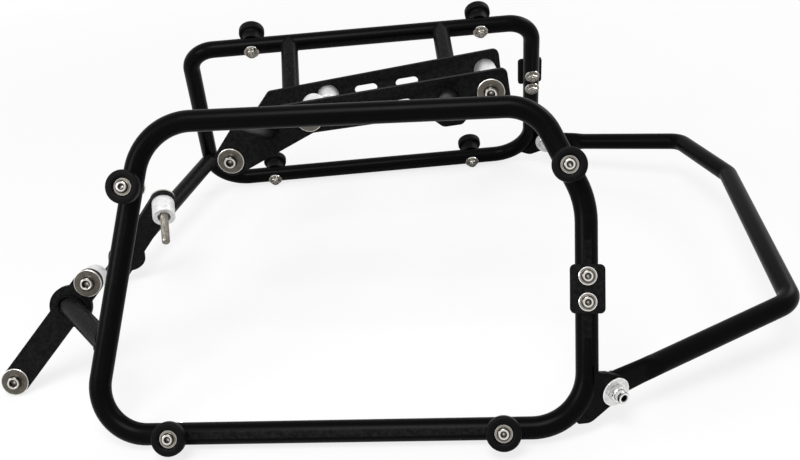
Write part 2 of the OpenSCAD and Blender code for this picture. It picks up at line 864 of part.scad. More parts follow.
module crossbar_bolts() {
    color(zinc) for (side = [LEFT, RIGHT]) at_cross_end(side) along_cross_bolt()
        button_screw(big_bolt_r, big_head_r, big_bolt_d, gusset_seat + gusset_t + big_washer_t,
            -gusset_seat - big_washer_t - big_nut_t - 2);
}

module crossbar_washers() {
    color(zinc) for (side = [LEFT, RIGHT]) at_cross_end(side) along_cross_bolt() {
        translate([0, 0, gusset_seat + gusset_t]) washer(big_bolt_r, big_washer_d / 2, big_washer_t);
        translate([0, 0, -gusset_seat - big_washer_t]) washer(big_bolt_r, big_washer_d / 2, big_washer_t);
    }
}

module crossbar_nuts() {
    color(zinc) for (side = [LEFT, RIGHT]) at_cross_end(side) along_cross_bolt()
        translate([0, 0, -gusset_seat - big_washer_t]) lock_nut(big_bolt_r, big_nut_r, big_nut_t);
}

hoop(LEFT);  // left_hoop
hoop(RIGHT);  // right_hoop
stub(LEFT, front_stub_x, front_stub_drop);  // left_front_stub
stub(LEFT, rear_stub_x, rear_stub_drop);  // left_rear_stub
stub(RIGHT, front_stub_x, front_stub_drop);  // right_front_stub
stub(RIGHT, rear_stub_x, rear_stub_drop);  // right_rear_stub
upper_plate(LEFT);  // left_upper_plate
upper_plate(RIGHT);  // right_upper_plate
plate_bolts(LEFT);  // left_plate_bolts
plate_bolts(RIGHT);  // right_plate_bolts
plate_washers(LEFT);  // left_plate_washers
plate_washers(RIGHT);  // right_plate_washers
plate_spacers(LEFT);  // left_plate_spacers
plate_spacers(RIGHT);  // right_plate_spacers
puck(LEFT, 0);  // left_puck_top_front_cap
puck(LEFT, 1);  // left_puck_top_rear_cap
puck(LEFT, 2);  // left_puck_bottom_front_cap
puck(LEFT, 3);  // left_puck_bottom_rear_cap
puck(RIGHT, 0);  // right_puck_top_front_cap
puck(RIGHT, 1);  // right_puck_top_rear_cap
puck(RIGHT, 2);  // right_puck_bottom_front_cap
puck(RIGHT, 3);  // right_puck_bottom_rear_cap
puck_bolts(LEFT);  // left_puck_bolts
puck_bolts(RIGHT);  // right_puck_bolts
puck_washers(LEFT);  // left_puck_washers
puck_washers(RIGHT);  // right_puck_washers
puck_nuts(LEFT);  // left_puck_nuts
puck_nuts(RIGHT);  // right_puck_nuts
lock_tab(LEFT);  // left_lock_tab
lock_tab(RIGHT);  // right_lock_tab
tab_bolts(LEFT);  // left_tab_bolts
tab_bolts(RIGHT);  // right_tab_bolts
tab_washers(LEFT);  // left_tab_washers
tab_washers(RIGHT);  // right_tab_washers
tab_nuts(LEFT);  // left_tab_nuts
tab_nuts(RIGHT);  // right_tab_nuts
foot_arm(LEFT);  // left_foot_arm
foot_arm(RIGHT);  // right_foot_arm
foot_bar(LEFT);  // left_foot_bar
foot_bar(RIGHT);  // right_foot_bar
foot_bolts(LEFT);  // left_foot_bolts
foot_bolts(RIGHT);  // right_foot_bolts
foot_washers(LEFT);  // left_foot_washers
foot_washers(RIGHT);  // right_foot_washers
foot_spacer(LEFT);  // left_foot_spacer
foot_spacer(RIGHT);  // right_foot_spacer
foot_nut(LEFT);  // left_foot_nut
foot_nut(RIGHT);  // right_foot_nut
gusset(LEFT);  // left_gusset
gusset(RIGHT);  // right_gusset
rear_crossbar();
crossbar_bolts();
crossbar_washers();
crossbar_nuts();
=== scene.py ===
"""Looks of a motorcycle's pannier frame set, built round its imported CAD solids.

The solids of the hoops, stubs, arms, plates, bars and tabs are shown as they are
and get a powder coat. Pucks, screws, washers, nuts, spacers and weld beads are
modelled here with numpy, in the same places as the part's source puts them. The
crossbar, what bolts it on and the two gussets are also modelled here, and placed
as the photograph shows them, up to 10 mm from the solids that they replace.
"""

import json
import logging
import math
from dataclasses import dataclass
from enum import Enum

import bpy
import numpy as np
from mathutils import Matrix, Vector


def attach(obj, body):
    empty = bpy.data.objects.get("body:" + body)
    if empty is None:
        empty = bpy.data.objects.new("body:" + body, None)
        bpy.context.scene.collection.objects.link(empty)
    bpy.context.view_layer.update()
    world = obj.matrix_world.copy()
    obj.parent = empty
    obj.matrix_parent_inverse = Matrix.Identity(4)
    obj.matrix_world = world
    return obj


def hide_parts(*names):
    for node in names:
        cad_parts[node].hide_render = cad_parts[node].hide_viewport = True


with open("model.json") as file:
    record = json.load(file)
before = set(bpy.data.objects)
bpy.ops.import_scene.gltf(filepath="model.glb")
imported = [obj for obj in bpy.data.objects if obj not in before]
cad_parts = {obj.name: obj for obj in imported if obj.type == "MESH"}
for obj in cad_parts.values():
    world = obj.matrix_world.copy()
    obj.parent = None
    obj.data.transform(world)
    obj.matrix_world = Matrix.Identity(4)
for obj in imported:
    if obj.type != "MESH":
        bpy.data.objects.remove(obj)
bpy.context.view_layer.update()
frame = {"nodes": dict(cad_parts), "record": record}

LOG = logging.getLogger("pannier_frame")
MM = 0.001
BODY = "root"


class Side(Enum):
    """The two sides of the set."""

    LEFT = "left"
    RIGHT = "right"


class Ring(Enum):
    """What a ring of points follows."""

    ROUND = "round"
    HEXAGON = "hexagon"


# Places


@dataclass(frozen=True)
class Place:
    """A frame of reference: its matrix takes local millimetres to the part's millimetres."""

    matrix: np.ndarray

    @staticmethod
    def origin() -> "Place":
        """The part's own frame."""
        return Place(np.eye(4))

    def move(self, x: float, y: float, z: float = 0.0) -> "Place":
        """A frame moved along its own axes.

        Args:
            x: how far along its X axis, in millimetres.
            y: how far along its Y axis.
            z: how far along its Z axis.

        Returns:
            The moved frame.
        """
        step = np.eye(4)
        step[:3, 3] = (x, y, z)
        return Place(self.matrix @ step)

    def turn(self, degrees: float, axis: str) -> "Place":
        """A frame turned about its own X, Y or Z axis."""
        step = np.array(Matrix.Rotation(math.radians(degrees), 4, axis))
        return Place(self.matrix @ step)

    def then(self, inner: "Place") -> "Place":
        """A frame that is drawn inside this one."""
        return Place(self.matrix @ inner.matrix)

    def mirror(self) -> "Place":
        """A frame mirrored across its own XZ plane."""
        return Place(self.matrix @ np.diag([1.0, -1.0, 1.0, 1.0]))

    def inverse(self) -> "Place":
        """The frame that takes this one's parent back into it."""
        return Place(np.linalg.inv(self.matrix))

    def flips(self) -> bool:
        """Whether the frame turns shapes inside out."""
        return bool(np.linalg.det(self.matrix[:3, :3]) < 0)

    def points(self, local: np.ndarray) -> np.ndarray:
        """Local points, three numbers each, as the part's points."""
        return local @ self.matrix[:3, :3].T + self.matrix[:3, 3]

    def spot(self, x: float, y: float, z: float = 0.0) -> np.ndarray:
        """One local point as the part's point."""
        return self.points(np.array([[x, y, z]]))[0]

    def along(self) -> np.ndarray:
        """The direction of its X axis in the part."""
        return self.matrix[:3, 0]

    def outward(self) -> np.ndarray:
        """The direction of its Z axis in the part."""
        return self.matrix[:3, 2]


@dataclass(frozen=True)
class Rig:
    """The sizes that place each sub-assembly, in millimetres and degrees, as in the part's source."""

    tube_r: float = 9.0
    hoop_gap: float = 531.6
    lean: float = 26.9
    toe: float = 3.62
    bar_height: float = 11.613
    middle_x: float = 23.9
    washer_seat: float = 0.6
    puck_t: float = 16.5
    plate_standoff: float = 83.0
    plate_drop: float = 33.0
    plate_t: float = 4.0
    tab_t: float = 3.0
    tab_pitch: float = 20.0
    foot_bar_t: float = 5.0

    def base(self, side: Side) -> Place:
        """The frame in which one side is drawn, mirrored for the right."""
        place = Place.origin().move(-self.middle_x, 0.0)
        return place.mirror() if side is Side.RIGHT else place

    def drawn_hoop(self) -> Place:
        """A hoop's frame inside its side: X back along the bottom bar, Y up the hoop, Z outward."""
        place = Place.origin().move(0.0, -self.hoop_gap / 2, self.bar_height)
        return place.turn(-self.toe, "Z").turn(90 - self.lean, "X")

    def hoop(self, side: Side) -> Place:
        """A hoop's frame in the part."""
        return self.base(side).then(self.drawn_hoop())

    def plate(self, side: Side, along: float, height: float, rise: float) -> Place:
        """An upper plate's own frame: X back along its bolts, Y up, Z outward.

        Args:
            side: which side.
            along: the middle bolt's place along the hoop's top bar.
            height: the top bar's height up the hoop.
            rise: the plate's rise towards the rear, in degrees.

        Returns:
            The plate's frame, at its middle bolt.
        """
        toe = math.radians(self.toe)
        inward = self.plate_standoff * np.array([math.sin(toe), math.cos(toe), 0.0])
        spot = self.drawn_hoop().spot(along, height) + inward
        place = self.base(side).move(spot[0], spot[1], spot[2] - self.plate_drop)
        return place.turn(-self.toe, "Z").turn(90, "X").turn(rise, "Z")


RIG = Rig()


# Curves and rings


def unit(way: np.ndarray) -> np.ndarray:
    """Directions of length one, along the last axis."""
    return way / np.linalg.norm(way, axis=-1, keepdims=True)


def eased(share: np.ndarray) -> np.ndarray:
    """A share from 0 to 1 with a soft start and end: its square times three less twice itself."""
    share = np.clip(share, 0, 1)
    return share * share * (3 - 2 * share)


def circle(count: int) -> np.ndarray:
    """Points of a circle of radius one: the cosines and sines of even steps round it."""
    around = np.linspace(0, 2 * math.pi, count, endpoint=False)
    return np.stack([np.cos(around), np.sin(around)], 1)


def curve(start: np.ndarray, middle: np.ndarray, end: np.ndarray, count: int) -> np.ndarray:
    """A quadratic curve that leaves its start and reaches its end in line with its middle.

    Args:
        start: where it starts.
        middle: the point that it is drawn towards.
        end: where it ends.
        count: how many points it has.

    Returns:
        Its points: start, middle and end weighed by (1 - t) squared, 2 t (1 - t) and t squared.
    """
    t = np.linspace(0, 1, count)[:, None]
    return (1 - t) ** 2 * start + 2 * t * (1 - t) * middle + t**2 * end


def rounded(corners: list, radius: float, steps: int) -> np.ndarray:
    """A profile with its inner corners rounded by quadratic curves.

    Args:
        corners: radius and height pairs.
        radius: how far from a corner the curve starts, unless a side is short.
        steps: how many steps a curve has.

    Returns:
        The profile with more points.
    """
    line = np.array(corners, float)
    pieces = [line[:1]]
    for before, here, after in zip(line, line[1:], line[2:]):
        reach_in = min(radius, np.linalg.norm(here - before) * 0.45)
        reach_out = min(radius, np.linalg.norm(after - here) * 0.45)
        start = here + unit(before - here) * reach_in
        pieces.append(curve(start, here, here + unit(after - here) * reach_out, steps + 1))
    return np.concatenate(pieces + [line[-1:]])


def around_axis(reach: np.ndarray, heights: np.ndarray) -> np.ndarray:
    """Rings round local Z.

    Args:
        reach: for each ring, the distance of each of its points from the axis.
        heights: each ring's height.

    Returns:
        The rings: each point is its reach times a circle's point, at its ring's height.
    """
    levels = np.broadcast_to(heights[:, None, None], (*reach.shape, 1))
    return np.concatenate([reach[:, :, None] * circle(reach.shape[1]), levels], 2)


# Meshes


@dataclass
class Shape:
    """A mesh in the making: its points in the part's millimetres and its faces.

    Each point also has its distance from its own axis, and its painted light: 1 for a painted
    highlight on an edge, -1 for painted shade deep in a hollow.
    """

    points: np.ndarray
    faces: list
    radial: np.ndarray
    painted_light: np.ndarray

    @staticmethod
    def join(shapes: list) -> "Shape":
        """One shape of several.

        Args:
            shapes: the shapes to join.

        Returns:
            A shape that holds all their points and faces.
        """
        faces, start = [], 0
        for shape in shapes:
            faces += [tuple(corner + start for corner in face) for face in shape.faces]
            start += len(shape.points)
        points, radial, painted_light = (
            np.concatenate([getattr(shape, key) for shape in shapes])
            for key in ("points", "radial", "painted_light")
        )
        return Shape(points, faces, radial, painted_light)


def loft(place: Place, rings: np.ndarray, closed: bool = False, painted_light: tuple = ()) -> Shape:
    """A skin over rings of points: each face joins two neighbours of a ring with the next ring's.

    Args:
        place: the frame of the points.
        rings: an array of rings, each a ring of points with three numbers.
        closed: whether the last ring joins the first; otherwise flat faces close both ends.
        painted_light: each ring's painted light, a painted highlight above zero and painted shade below,
            or nothing for none.

    Returns:
        The shape.
    """
    count, size = rings.shape[:2]
    flat = rings.reshape(-1, 3)
    rows = np.arange(count if closed else count - 1)[:, None]
    cols = np.arange(size)[None, :]
    here, above = rows * size, (rows + 1) % count * size
    beside = (cols + 1) % size
    quads = np.stack([here + cols, here + beside, above + beside, above + cols], 2)
    faces = [tuple(quad) for quad in quads.reshape(-1, 4).tolist()]
    if not closed:
        faces.append(tuple(range(size))[::-1])
        faces.append(tuple(range((count - 1) * size, count * size)))
    if place.flips():
        faces = [face[::-1] for face in faces]
    # Painted light for each point: a painted highlight above zero, painted shade below.
    light_per_point = np.repeat(np.array(painted_light or [0.0] * count, float), size)
    return Shape(place.points(flat), faces, np.hypot(flat[:, 0], flat[:, 1]), light_per_point)


def lathe(
    place: Place, profile: np.ndarray, sides: int, closed: bool = False, painted_light: tuple = ()
) -> Shape:
    """A profile turned about local Z: each point goes round at its radius and height.

    Args:
        place: the frame of the shape.
        profile: radius and height pairs, walked so that the metal lies on their left going up.
        sides: how many points go round.
        closed: whether the profile is a loop, as a washer's is.
        painted_light: each point's painted light, a painted highlight above zero and painted shade below,
            or nothing for none.

    Returns:
        The turned shape.
    """
    reach = np.repeat(profile[:, :1], sides, 1)
    return loft(place, around_axis(reach, profile[:, 1]), closed, painted_light)


RING_POINTS = 48


def stacked(place: Place, steps: list, closed: bool = False) -> Shape:
    """A skin over round and hexagonal rings along local Z.

    A hexagon's point stands at its corners' distance times the cosine of half a side's angle,
    over the cosine of the point's angle from the side's middle.

    Args:
        place: the frame of the shape.
        steps: each ring's radius or corner distance, height, painted light and kind.
        closed: whether the last ring joins the first.

    Returns:
        The shape.
    """
    half = math.pi / 6
    around = np.linspace(0, 2 * math.pi, RING_POINTS, endpoint=False)
    hexagon = math.cos(half) / np.cos(around % (2 * half) - half)
    radii, heights, painted_light = np.array([step[:3] for step in steps], float).T
    six_sided = np.array([step[3] is Ring.HEXAGON for step in steps])[:, None]
    reach = radii[:, None] * np.where(six_sided, hexagon, 1.0)
    return loft(place, around_axis(reach, heights), closed, tuple(painted_light))


def thread(place: Place, radius: float, start: float, end: float, pitch: float) -> Shape:
    """A threaded rod along local Z, with eased ends.

    The radius falls by the thread's depth times a triangle wave, whose phase is the height in
    pitches less the turn round the rod.

    Args:
        place: the frame of the shape.
        radius: the outside radius.
        start: the low end.
        end: the high end.
        pitch: the thread's pitch.

    Returns:
        The rod.
    """
    depth, ease, sides, rows_per_turn = pitch * 0.54, pitch * 0.9, 40, 8
    rows = max(int((end - start) / pitch * rows_per_turn), rows_per_turn)
    heights = np.linspace(start, end, rows)[:, None]
    turn = np.linspace(0, 1, sides, endpoint=False)
    wave = np.abs((heights / pitch - turn) % 1.0 * 2 - 1)
    from_end = np.minimum(heights - start, end - heights)
    limit = radius - np.clip(1 - from_end / ease, 0, 1) * depth * 1.2
    return loft(place, around_axis(np.minimum(radius - depth * wave, limit), heights[:, 0]))


BEAD_STEPS = 192
BEAD_SIDES = 12
RIPPLE_LENGTH = 2.1


def bead(path: np.ndarray, out: np.ndarray, radius: np.ndarray, ripples: float = 0.15) -> Shape:
    """A weld bead along a closed path: a round section whose size ripples as the welder's hand does.

    Args:
        path: the closed path's points, in the part's millimetres.
        out: for each point, the direction in which the bead stands proud.
        radius: the section's radius at each point.
        ripples: the share of the radius that each ripple takes off, as a sine along the path.

    Returns:
        The bead.
    """
    along = unit(np.roll(path, -1, 0) - np.roll(path, 1, 0))
    out = unit(out - (out * along).sum(1, keepdims=True) * along)
    across = np.cross(along, out)
    length = np.linalg.norm(np.roll(path, -1, 0) - path, axis=1).sum()
    phase = np.linspace(0, max(round(length / RIPPLE_LENGTH), 6), len(path), endpoint=False)
    size = radius * (1 - ripples * np.abs(np.sin(math.pi * phase)))
    section = circle(BEAD_SIDES)
    spokes = section[:, :1] * across[:, None] + section[:, 1:] * out[:, None]
    return loft(Place.origin(), path[:, None] + size[:, None, None] * spokes, closed=True)


@dataclass(frozen=True)
class Pipe:
    """A round bar from one point to another, in the part's millimetres."""

    start: np.ndarray
    end: np.ndarray
    radius: float

    def way(self) -> np.ndarray:
        """Its direction."""
        return unit(self.end - self.start)

    def spokes(self) -> np.ndarray:
        """Directions all round it, square to its own.

        Returns:
            A circle's points, laid out on two directions that are square to the pipe's.
        """
        way, ring = self.way(), circle(BEAD_STEPS)
        side = unit(np.cross(way, np.array([0.0, 0.0, 1.0])))
        return ring[:, :1] * side + ring[:, 1:] * np.cross(way, side)

    def weld_to_bar(self, along: np.ndarray, bar_r: float, radius: float) -> Shape:
        """The bead where the start of this pipe meets a straight round bar.

        Each line along the pipe's skin meets the bar where a quadratic in its length is zero:
        there its distance from the bar's axis is the bar's radius.

        Args:
            along: the bar's direction; its axis goes through the pipe's start.
            bar_r: the bar's radius.
            radius: the bead's radius.

        Returns:
            The bead, which thins out where the two round surfaces lie flush.
        """
        way, spokes = self.way(), self.spokes()
        flat_way = way - (way @ along) * along
        flat_spokes = (spokes - (spokes @ along)[:, None] * along) * self.radius
        a = flat_way @ flat_way
        b = 2 * (flat_spokes @ flat_way)
        c = (flat_spokes**2).sum(1) - bar_r**2
        reach = (-b + np.sqrt(np.maximum(b**2 - 4 * a * c, 0.0))) / (2 * a)
        path = self.start + spokes * self.radius + reach[:, None] * way
        from_bar = unit(flat_spokes + reach[:, None] * flat_way)
        flush = (spokes * from_bar).sum(1)
        size = radius * np.sqrt(np.clip(1 - flush**2, 0.01, 1.0))
        return bead(path, spokes + from_bar, size)

    def weld_to_face(self, spot: np.ndarray, normal: np.ndarray, radius: float) -> Shape:
        """The bead where this pipe meets a flat face.

        Args:
            spot: a point of the face.
            normal: the face's outward direction.
            radius: the bead's radius.

        Returns:
            The bead, along the points where lines on the pipe's skin cross the face.
        """
        way, spokes = self.way(), self.spokes()
        side = self.start + spokes * self.radius
        reach = ((spot - side) @ normal) / (way @ normal)
        return bead(side + reach[:, None] * way, spokes + normal, np.full(BEAD_STEPS, radius))


def add_object(name: str, data: bpy.types.ID) -> bpy.types.Object:
    """Puts a mesh, a lamp or a camera into the scene.

    Args:
        name: the object's name.
        data: what it shows.

    Returns:
        The object.
    """
    item = bpy.data.objects.new(name, data)
    bpy.context.scene.collection.objects.link(item)
    return item


@dataclass(frozen=True)
class Look:
    """A finish's material and the record's material slot that it belongs to."""

    material: bpy.types.Material
    slot: str


CREASE_DEGREES = 32.0


def finish_mesh(name: str, shapes: list, look: Look, node: str = "") -> None:
    """Makes shapes one object of the scene that rides on the set, with its place in its mesh.

    Args:
        name: the piece's name.
        shapes: its shapes, in millimetres.
        look: its finish.
        node: the CAD node that it stands for, if there is one.
    """
    shape = Shape.join(shapes)
    mesh = bpy.data.meshes.new(name)
    mesh.from_pydata((shape.points * MM).tolist(), [], shape.faces)
    mesh.update()
    # The painted light attribute carries painted highlights and painted shade to the metal finishes.
    for key in ("radial", "painted_light"):
        layer = mesh.attributes.new(key, "FLOAT", "POINT")
        layer.data.foreach_set("value", getattr(shape, key).astype(np.float32))
    mesh.polygons.foreach_set("use_smooth", np.ones(len(mesh.polygons), bool))
    mesh.set_sharp_from_angle(angle=math.radians(CREASE_DEGREES))
    mesh.materials.append(look.material)
    piece = add_object(name, mesh)
    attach(piece, BODY)
    if node:
        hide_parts(node)
    LOG.info("built %s with %d faces", name, len(shape.faces))


def finish_set(prefix: str, rows: tuple, looks: dict) -> None:
    """Finishes several pieces that stand for CAD nodes.

    Args:
        prefix: what the names of the pieces start with.
        rows: for each piece, the rest of its name, its shapes, its look and its node.
        looks: the finishes by name.
    """
    for kind, shapes, look, node in rows:
        finish_mesh(f"{prefix}_{kind}", shapes, looks[look], node)


# Finishes


class NodeSheet:
    """A material's or a group's node tree, with short calls to add and join nodes."""

    def __init__(self, tree: bpy.types.NodeTree) -> None:
        """Keeps the tree that the calls work on."""
        self.tree = tree

    def add(self, kind: str, **values: object) -> bpy.types.Node:
        """Adds a node.

        Args:
            kind: the node's type.
            values: its properties by name.

        Returns:
            The node.
        """
        node = self.tree.nodes.new(kind)
        for key, value in values.items():
            setattr(node, key, value)
        return node

    def put(self, socket: bpy.types.NodeSocket, value: object) -> None:
        """Joins an output to an input, or sets the input to a number or a colour.

        Args:
            socket: the input.
            value: the output or the value, or nothing to leave the input as it is.
        """
        if isinstance(value, bpy.types.NodeSocket):
            self.tree.links.new(value, socket)
        elif value is not None:
            socket.default_value = value

    def feed(self, node: bpy.types.Node, **values: object) -> bpy.types.Node:
        """Puts outputs or values into a node's inputs.

        Args:
            node: the node.
            values: what goes into each input; underscores in the names stand for spaces.

        Returns:
            The same node.
        """
        for key, value in values.items():
            self.put(node.inputs[key.replace("_", " ")], value)
        return node

    def where(self) -> bpy.types.NodeSocket:
        """The Object coordinates."""
        return self.add("ShaderNodeTexCoord").outputs["Object"]

    def kept(self, name: str) -> bpy.types.NodeSocket:
        """A number that the mesh keeps for each point."""
        return self.add("ShaderNodeAttribute", attribute_name=name).outputs["Fac"]

    def math(self, kind: str, a: object, b: object = None, c: object = None) -> bpy.types.NodeSocket:
        """A Math node on sockets or numbers.

        Args:
            kind: the operation.
            a: the first value, a socket or a number.
            b: the second value.
            c: the third value.

        Returns:
            The result's socket.
        """
        node = self.add("ShaderNodeMath", operation=kind)
        for socket, value in zip(node.inputs, (a, b, c)):
            self.put(socket, value)
        return node.outputs[0]

    def mix(self, amount: object, first: object, second: object) -> bpy.types.NodeSocket:
        """A mix of two colours.

        Args:
            amount: the second colour's share, a socket or a number.
            first: the first colour or its socket.
            second: the second colour or its socket.

        Returns:
            The result's socket.
        """
        node = self.add("ShaderNodeMix", data_type="RGBA")
        for place, value in ((0, amount), (6, first), (7, second)):
            self.put(node.inputs[place], value)
        return node.outputs[2]

    def noise(
        self, vector: bpy.types.NodeSocket, scale: object, detail: float = 3.0, rough: float = 0.5
    ) -> bpy.types.NodeSocket:
        """A noise texture.

        Args:
            vector: the coordinate.
            scale: its scale, a socket or a number.
            detail: how many layers it has.
            rough: how strong the finer layers are.

        Returns:
            Its value's socket.
        """
        node = self.add("ShaderNodeTexNoise")
        return self.feed(node, Vector=vector, Scale=scale, Detail=detail, Roughness=rough).outputs["Fac"]

    def ramp(self, value: bpy.types.NodeSocket, low: object, high: object) -> bpy.types.NodeSocket:
        """A value stretched from low..high to 0..1 and clamped."""
        node = self.add("ShaderNodeMapRange", clamp=True)
        return self.feed(node, Value=value, From_Min=low, From_Max=high).outputs[0]

    def group(self, tree: bpy.types.NodeTree, **values: float) -> bpy.types.bpy_prop_collection:
        """An effect group with its inputs set; gives its outputs."""
        return self.feed(self.add("ShaderNodeGroup", node_tree=tree), **values).outputs

    def bump(self, height: bpy.types.NodeSocket, distance: float, strength: float) -> bpy.types.NodeSocket:
        """A normal bent by a height."""
        node = self.add("ShaderNodeBump")
        return self.feed(node, Height=height, Distance=distance, Strength=strength).outputs[0]


def new_group(name: str, inputs: dict, outputs: tuple) -> tuple:
    """Starts a shader node group whose inputs and outputs are all numbers.

    Args:
        name: the group's name.
        inputs: each input's default, by name.
        outputs: the outputs' names.

    Returns:
        The group's sheet, its inputs by name and its output node.
    """
    group = bpy.data.node_groups.new(name, "ShaderNodeTree")
    for key, default in inputs.items():
        socket = group.interface.new_socket(key, in_out="INPUT", socket_type="NodeSocketFloat")
        socket.default_value = default
    for key in outputs:
        group.interface.new_socket(key, in_out="OUTPUT", socket_type="NodeSocketFloat")
    sheet = NodeSheet(group)
    return sheet, sheet.add("NodeGroupInput").outputs, sheet.add("NodeGroupOutput")


def coat_skin_group() -> bpy.types.NodeTree:
    """The skin of a powder coat: a fine orange peel, soft cloudy gloss and a little dust.

    Returns:
        The group, with the outputs Height, Roughness and Dust.
    """
    sheet, given, leave = new_group(
        "powder_coat_skin",
        {"Peel Scale": 900.0, "Cloud": 0.06, "Base Roughness": 0.4},
        ("Height", "Roughness", "Dust"),
    )
    where = sheet.where()
    peel = sheet.noise(where, given["Peel Scale"], 2.0)
    cloud = sheet.noise(where, 26.0, 4.0, 0.6)
    swing = sheet.math("MULTIPLY", sheet.math("SUBTRACT", cloud, 0.5), given["Cloud"])
    rough = sheet.math("ADD", given["Base Roughness"], sheet.math("MULTIPLY", swing, 4.0))
    specks = sheet.ramp(sheet.noise(where, 1400.0, 1.0), 0.72, 0.8)
    patches = sheet.ramp(sheet.noise(where, 18.0, 3.0), 0.45, 0.75)
    sheet.feed(leave, Height=peel, Roughness=rough, Dust=sheet.math("MULTIPLY", specks, patches))
    return sheet.tree


def edge_wear_group() -> bpy.types.NodeTree:
    """Edge wear: pointed places of the mesh, broken up by noise.

    Returns:
        The group, with the output Mask.
    """
    sheet, given, leave = new_group(
        "edge_wear", {"Start": 0.52, "End": 0.6, "Break Up": 0.5}, ("Mask",)
    )
    point = sheet.add("ShaderNodeNewGeometry").outputs["Pointiness"]
    edges = sheet.ramp(point, given["Start"], given["End"])
    broken = sheet.ramp(sheet.noise(sheet.where(), 320.0, 4.0, 0.65), 0.4, 0.62)
    whole = sheet.math("SUBTRACT", 1.0, given["Break Up"])
    lessened = sheet.math("ADD", sheet.math("MULTIPLY", broken, given["Break Up"]), whole)
    sheet.feed(leave, Mask=sheet.math("MULTIPLY", edges, lessened))
    return sheet.tree


def turned_rings_group() -> bpy.types.NodeTree:
    """Rings left by turning or brushing round a centre: noise along the distance from the axis.

    Returns:
        The group, with the output Fac.
    """
    sheet, given, leave = new_group("turned_rings", {"Rings per Metre": 2600.0}, ("Fac",))
    metres = sheet.math("MULTIPLY", sheet.kept("radial"), MM)
    across = sheet.math("MULTIPLY", metres, given["Rings per Metre"])
    patchy = sheet.math("MULTIPLY", sheet.noise(sheet.where(), 60.0, 2.0), 0.6)
    vector = sheet.feed(sheet.add("ShaderNodeCombineXYZ"), X=across, Y=patchy)
    sheet.feed(leave, Fac=sheet.noise(vector.outputs[0], 1.0, 3.0, 0.7))
    return sheet.tree


def highlight_shade_group() -> bpy.types.NodeTree:
    """The kept painted light as two masks: painted highlights on edges, and painted shade in hollows.

    Returns:
        The group, with the outputs Painted Highlight and Painted Shade.
    """
    sheet, given, leave = new_group("highlight_shade_masks", {"Strength": 1.0}, ("Edge", "Painted Shade"))
    kept = sheet.kept("painted_light")
    # The edge mask is a painted highlight; the mask below it is painted shade.
    edge = sheet.ramp(kept, 0.0, 1.0)
    painted_shade = sheet.ramp(sheet.math("MULTIPLY", kept, -1.0), 0.0, 1.0)
    for name, mask in (("Edge", edge), ("Painted Shade", painted_shade)):
        sheet.put(leave.inputs[name], sheet.math("MULTIPLY", mask, given["Strength"]))
    return sheet.tree


@dataclass(frozen=True)
class Effects:
    """The effect groups that the finishes share."""

    skin: bpy.types.NodeTree
    wear: bpy.types.NodeTree
    rings: bpy.types.NodeTree
    painted_light: bpy.types.NodeTree

    @staticmethod
    def build() -> "Effects":
        """Makes the groups."""
        return Effects(coat_skin_group(), edge_wear_group(), turned_rings_group(), highlight_shade_group())


def start_material(name: str) -> tuple:
    """A new material.

    Args:
        name: its name.

    Returns:
        The material, its sheet and its Principled shader.
    """
    material = bpy.data.materials.new(name)
    material.use_nodes = True
    return material, NodeSheet(material.node_tree), material.node_tree.nodes["Principled BSDF"]


@dataclass(frozen=True)
class Wear:
    """How far a finish is rubbed through: from which pointedness to which, and how broken up."""

    start: float
    end: float
    broken: float
    share: float = 0.5

    def mask(self, sheet: NodeSheet, shared: Effects) -> bpy.types.NodeSocket:
        """How much of the worn colour shows."""
        worn = sheet.group(shared.wear, Start=self.start, End=self.end, Break_Up=self.broken)
        return sheet.math("MULTIPLY", worn["Mask"], self.share)


@dataclass(frozen=True)
class PowderCoat:
    """A black powder coat on steel."""

    name: str
    slot: str
    roughness: float = 0.3
    depth: float = 0.00004
    colour: tuple = (0.0009, 0.0009, 0.001, 1.0)
    worn: tuple = (0.02, 0.02, 0.021, 1.0)
    dust: tuple = (0.04, 0.039, 0.038, 1.0)
    dust_share: float = 0.1
    peel: float = 900.0
    cloud: float = 0.015
    specular: float = 0.04
    wear: Wear = Wear(0.53, 0.62, 0.7)

    def build(self, shared: Effects) -> Look:
        """Makes the material.

        Args:
            shared: the effect groups.

        Returns:
            The finish.
        """
        material, sheet, shader = start_material(self.name)
        skin = sheet.group(
            shared.skin, Peel_Scale=self.peel, Cloud=self.cloud, Base_Roughness=self.roughness
        )
        rubbed = sheet.mix(self.wear.mask(sheet, shared), self.colour, self.worn)
        dusty = sheet.math("MULTIPLY", skin["Dust"], self.dust_share)
        sheet.feed(
            shader,
            Base_Color=sheet.mix(dusty, rubbed, self.dust),
            Roughness=skin["Roughness"],
            Specular_IOR_Level=self.specular,
            Normal=sheet.bump(skin["Height"], self.depth, 0.5),
        )
        return Look(material, self.slot)


@dataclass(frozen=True)
class MouldedPlastic:
    """Matte black moulded plastic with a fine spark-eroded grain."""

    name: str
    slot: str
    colour: tuple = (0.002, 0.002, 0.0021, 1.0)
    worn: tuple = (0.02, 0.02, 0.02, 1.0)
    roughness: float = 0.42
    grain_depth: float = 0.00008
    specular: float = 0.06
    wear: Wear = Wear(0.52, 0.62, 0.6)

    def build(self, shared: Effects) -> Look:
        """Makes the material.

        Args:
            shared: the effect groups.

        Returns:
            The finish.
        """
        material, sheet, shader = start_material(self.name)
        where = sheet.where()
        grain = sheet.noise(where, 2600.0, 3.0, 0.6)
        cloud = sheet.noise(where, 90.0, 3.0)
        sheet.feed(
            shader,
            Base_Color=sheet.mix(self.wear.mask(sheet, shared), self.colour, self.worn),
            Roughness=sheet.math("MULTIPLY_ADD", cloud, 0.1, self.roughness),
            Specular_IOR_Level=self.specular,
            Normal=sheet.bump(grain, self.grain_depth, 0.7),
        )
        return Look(material, self.slot)


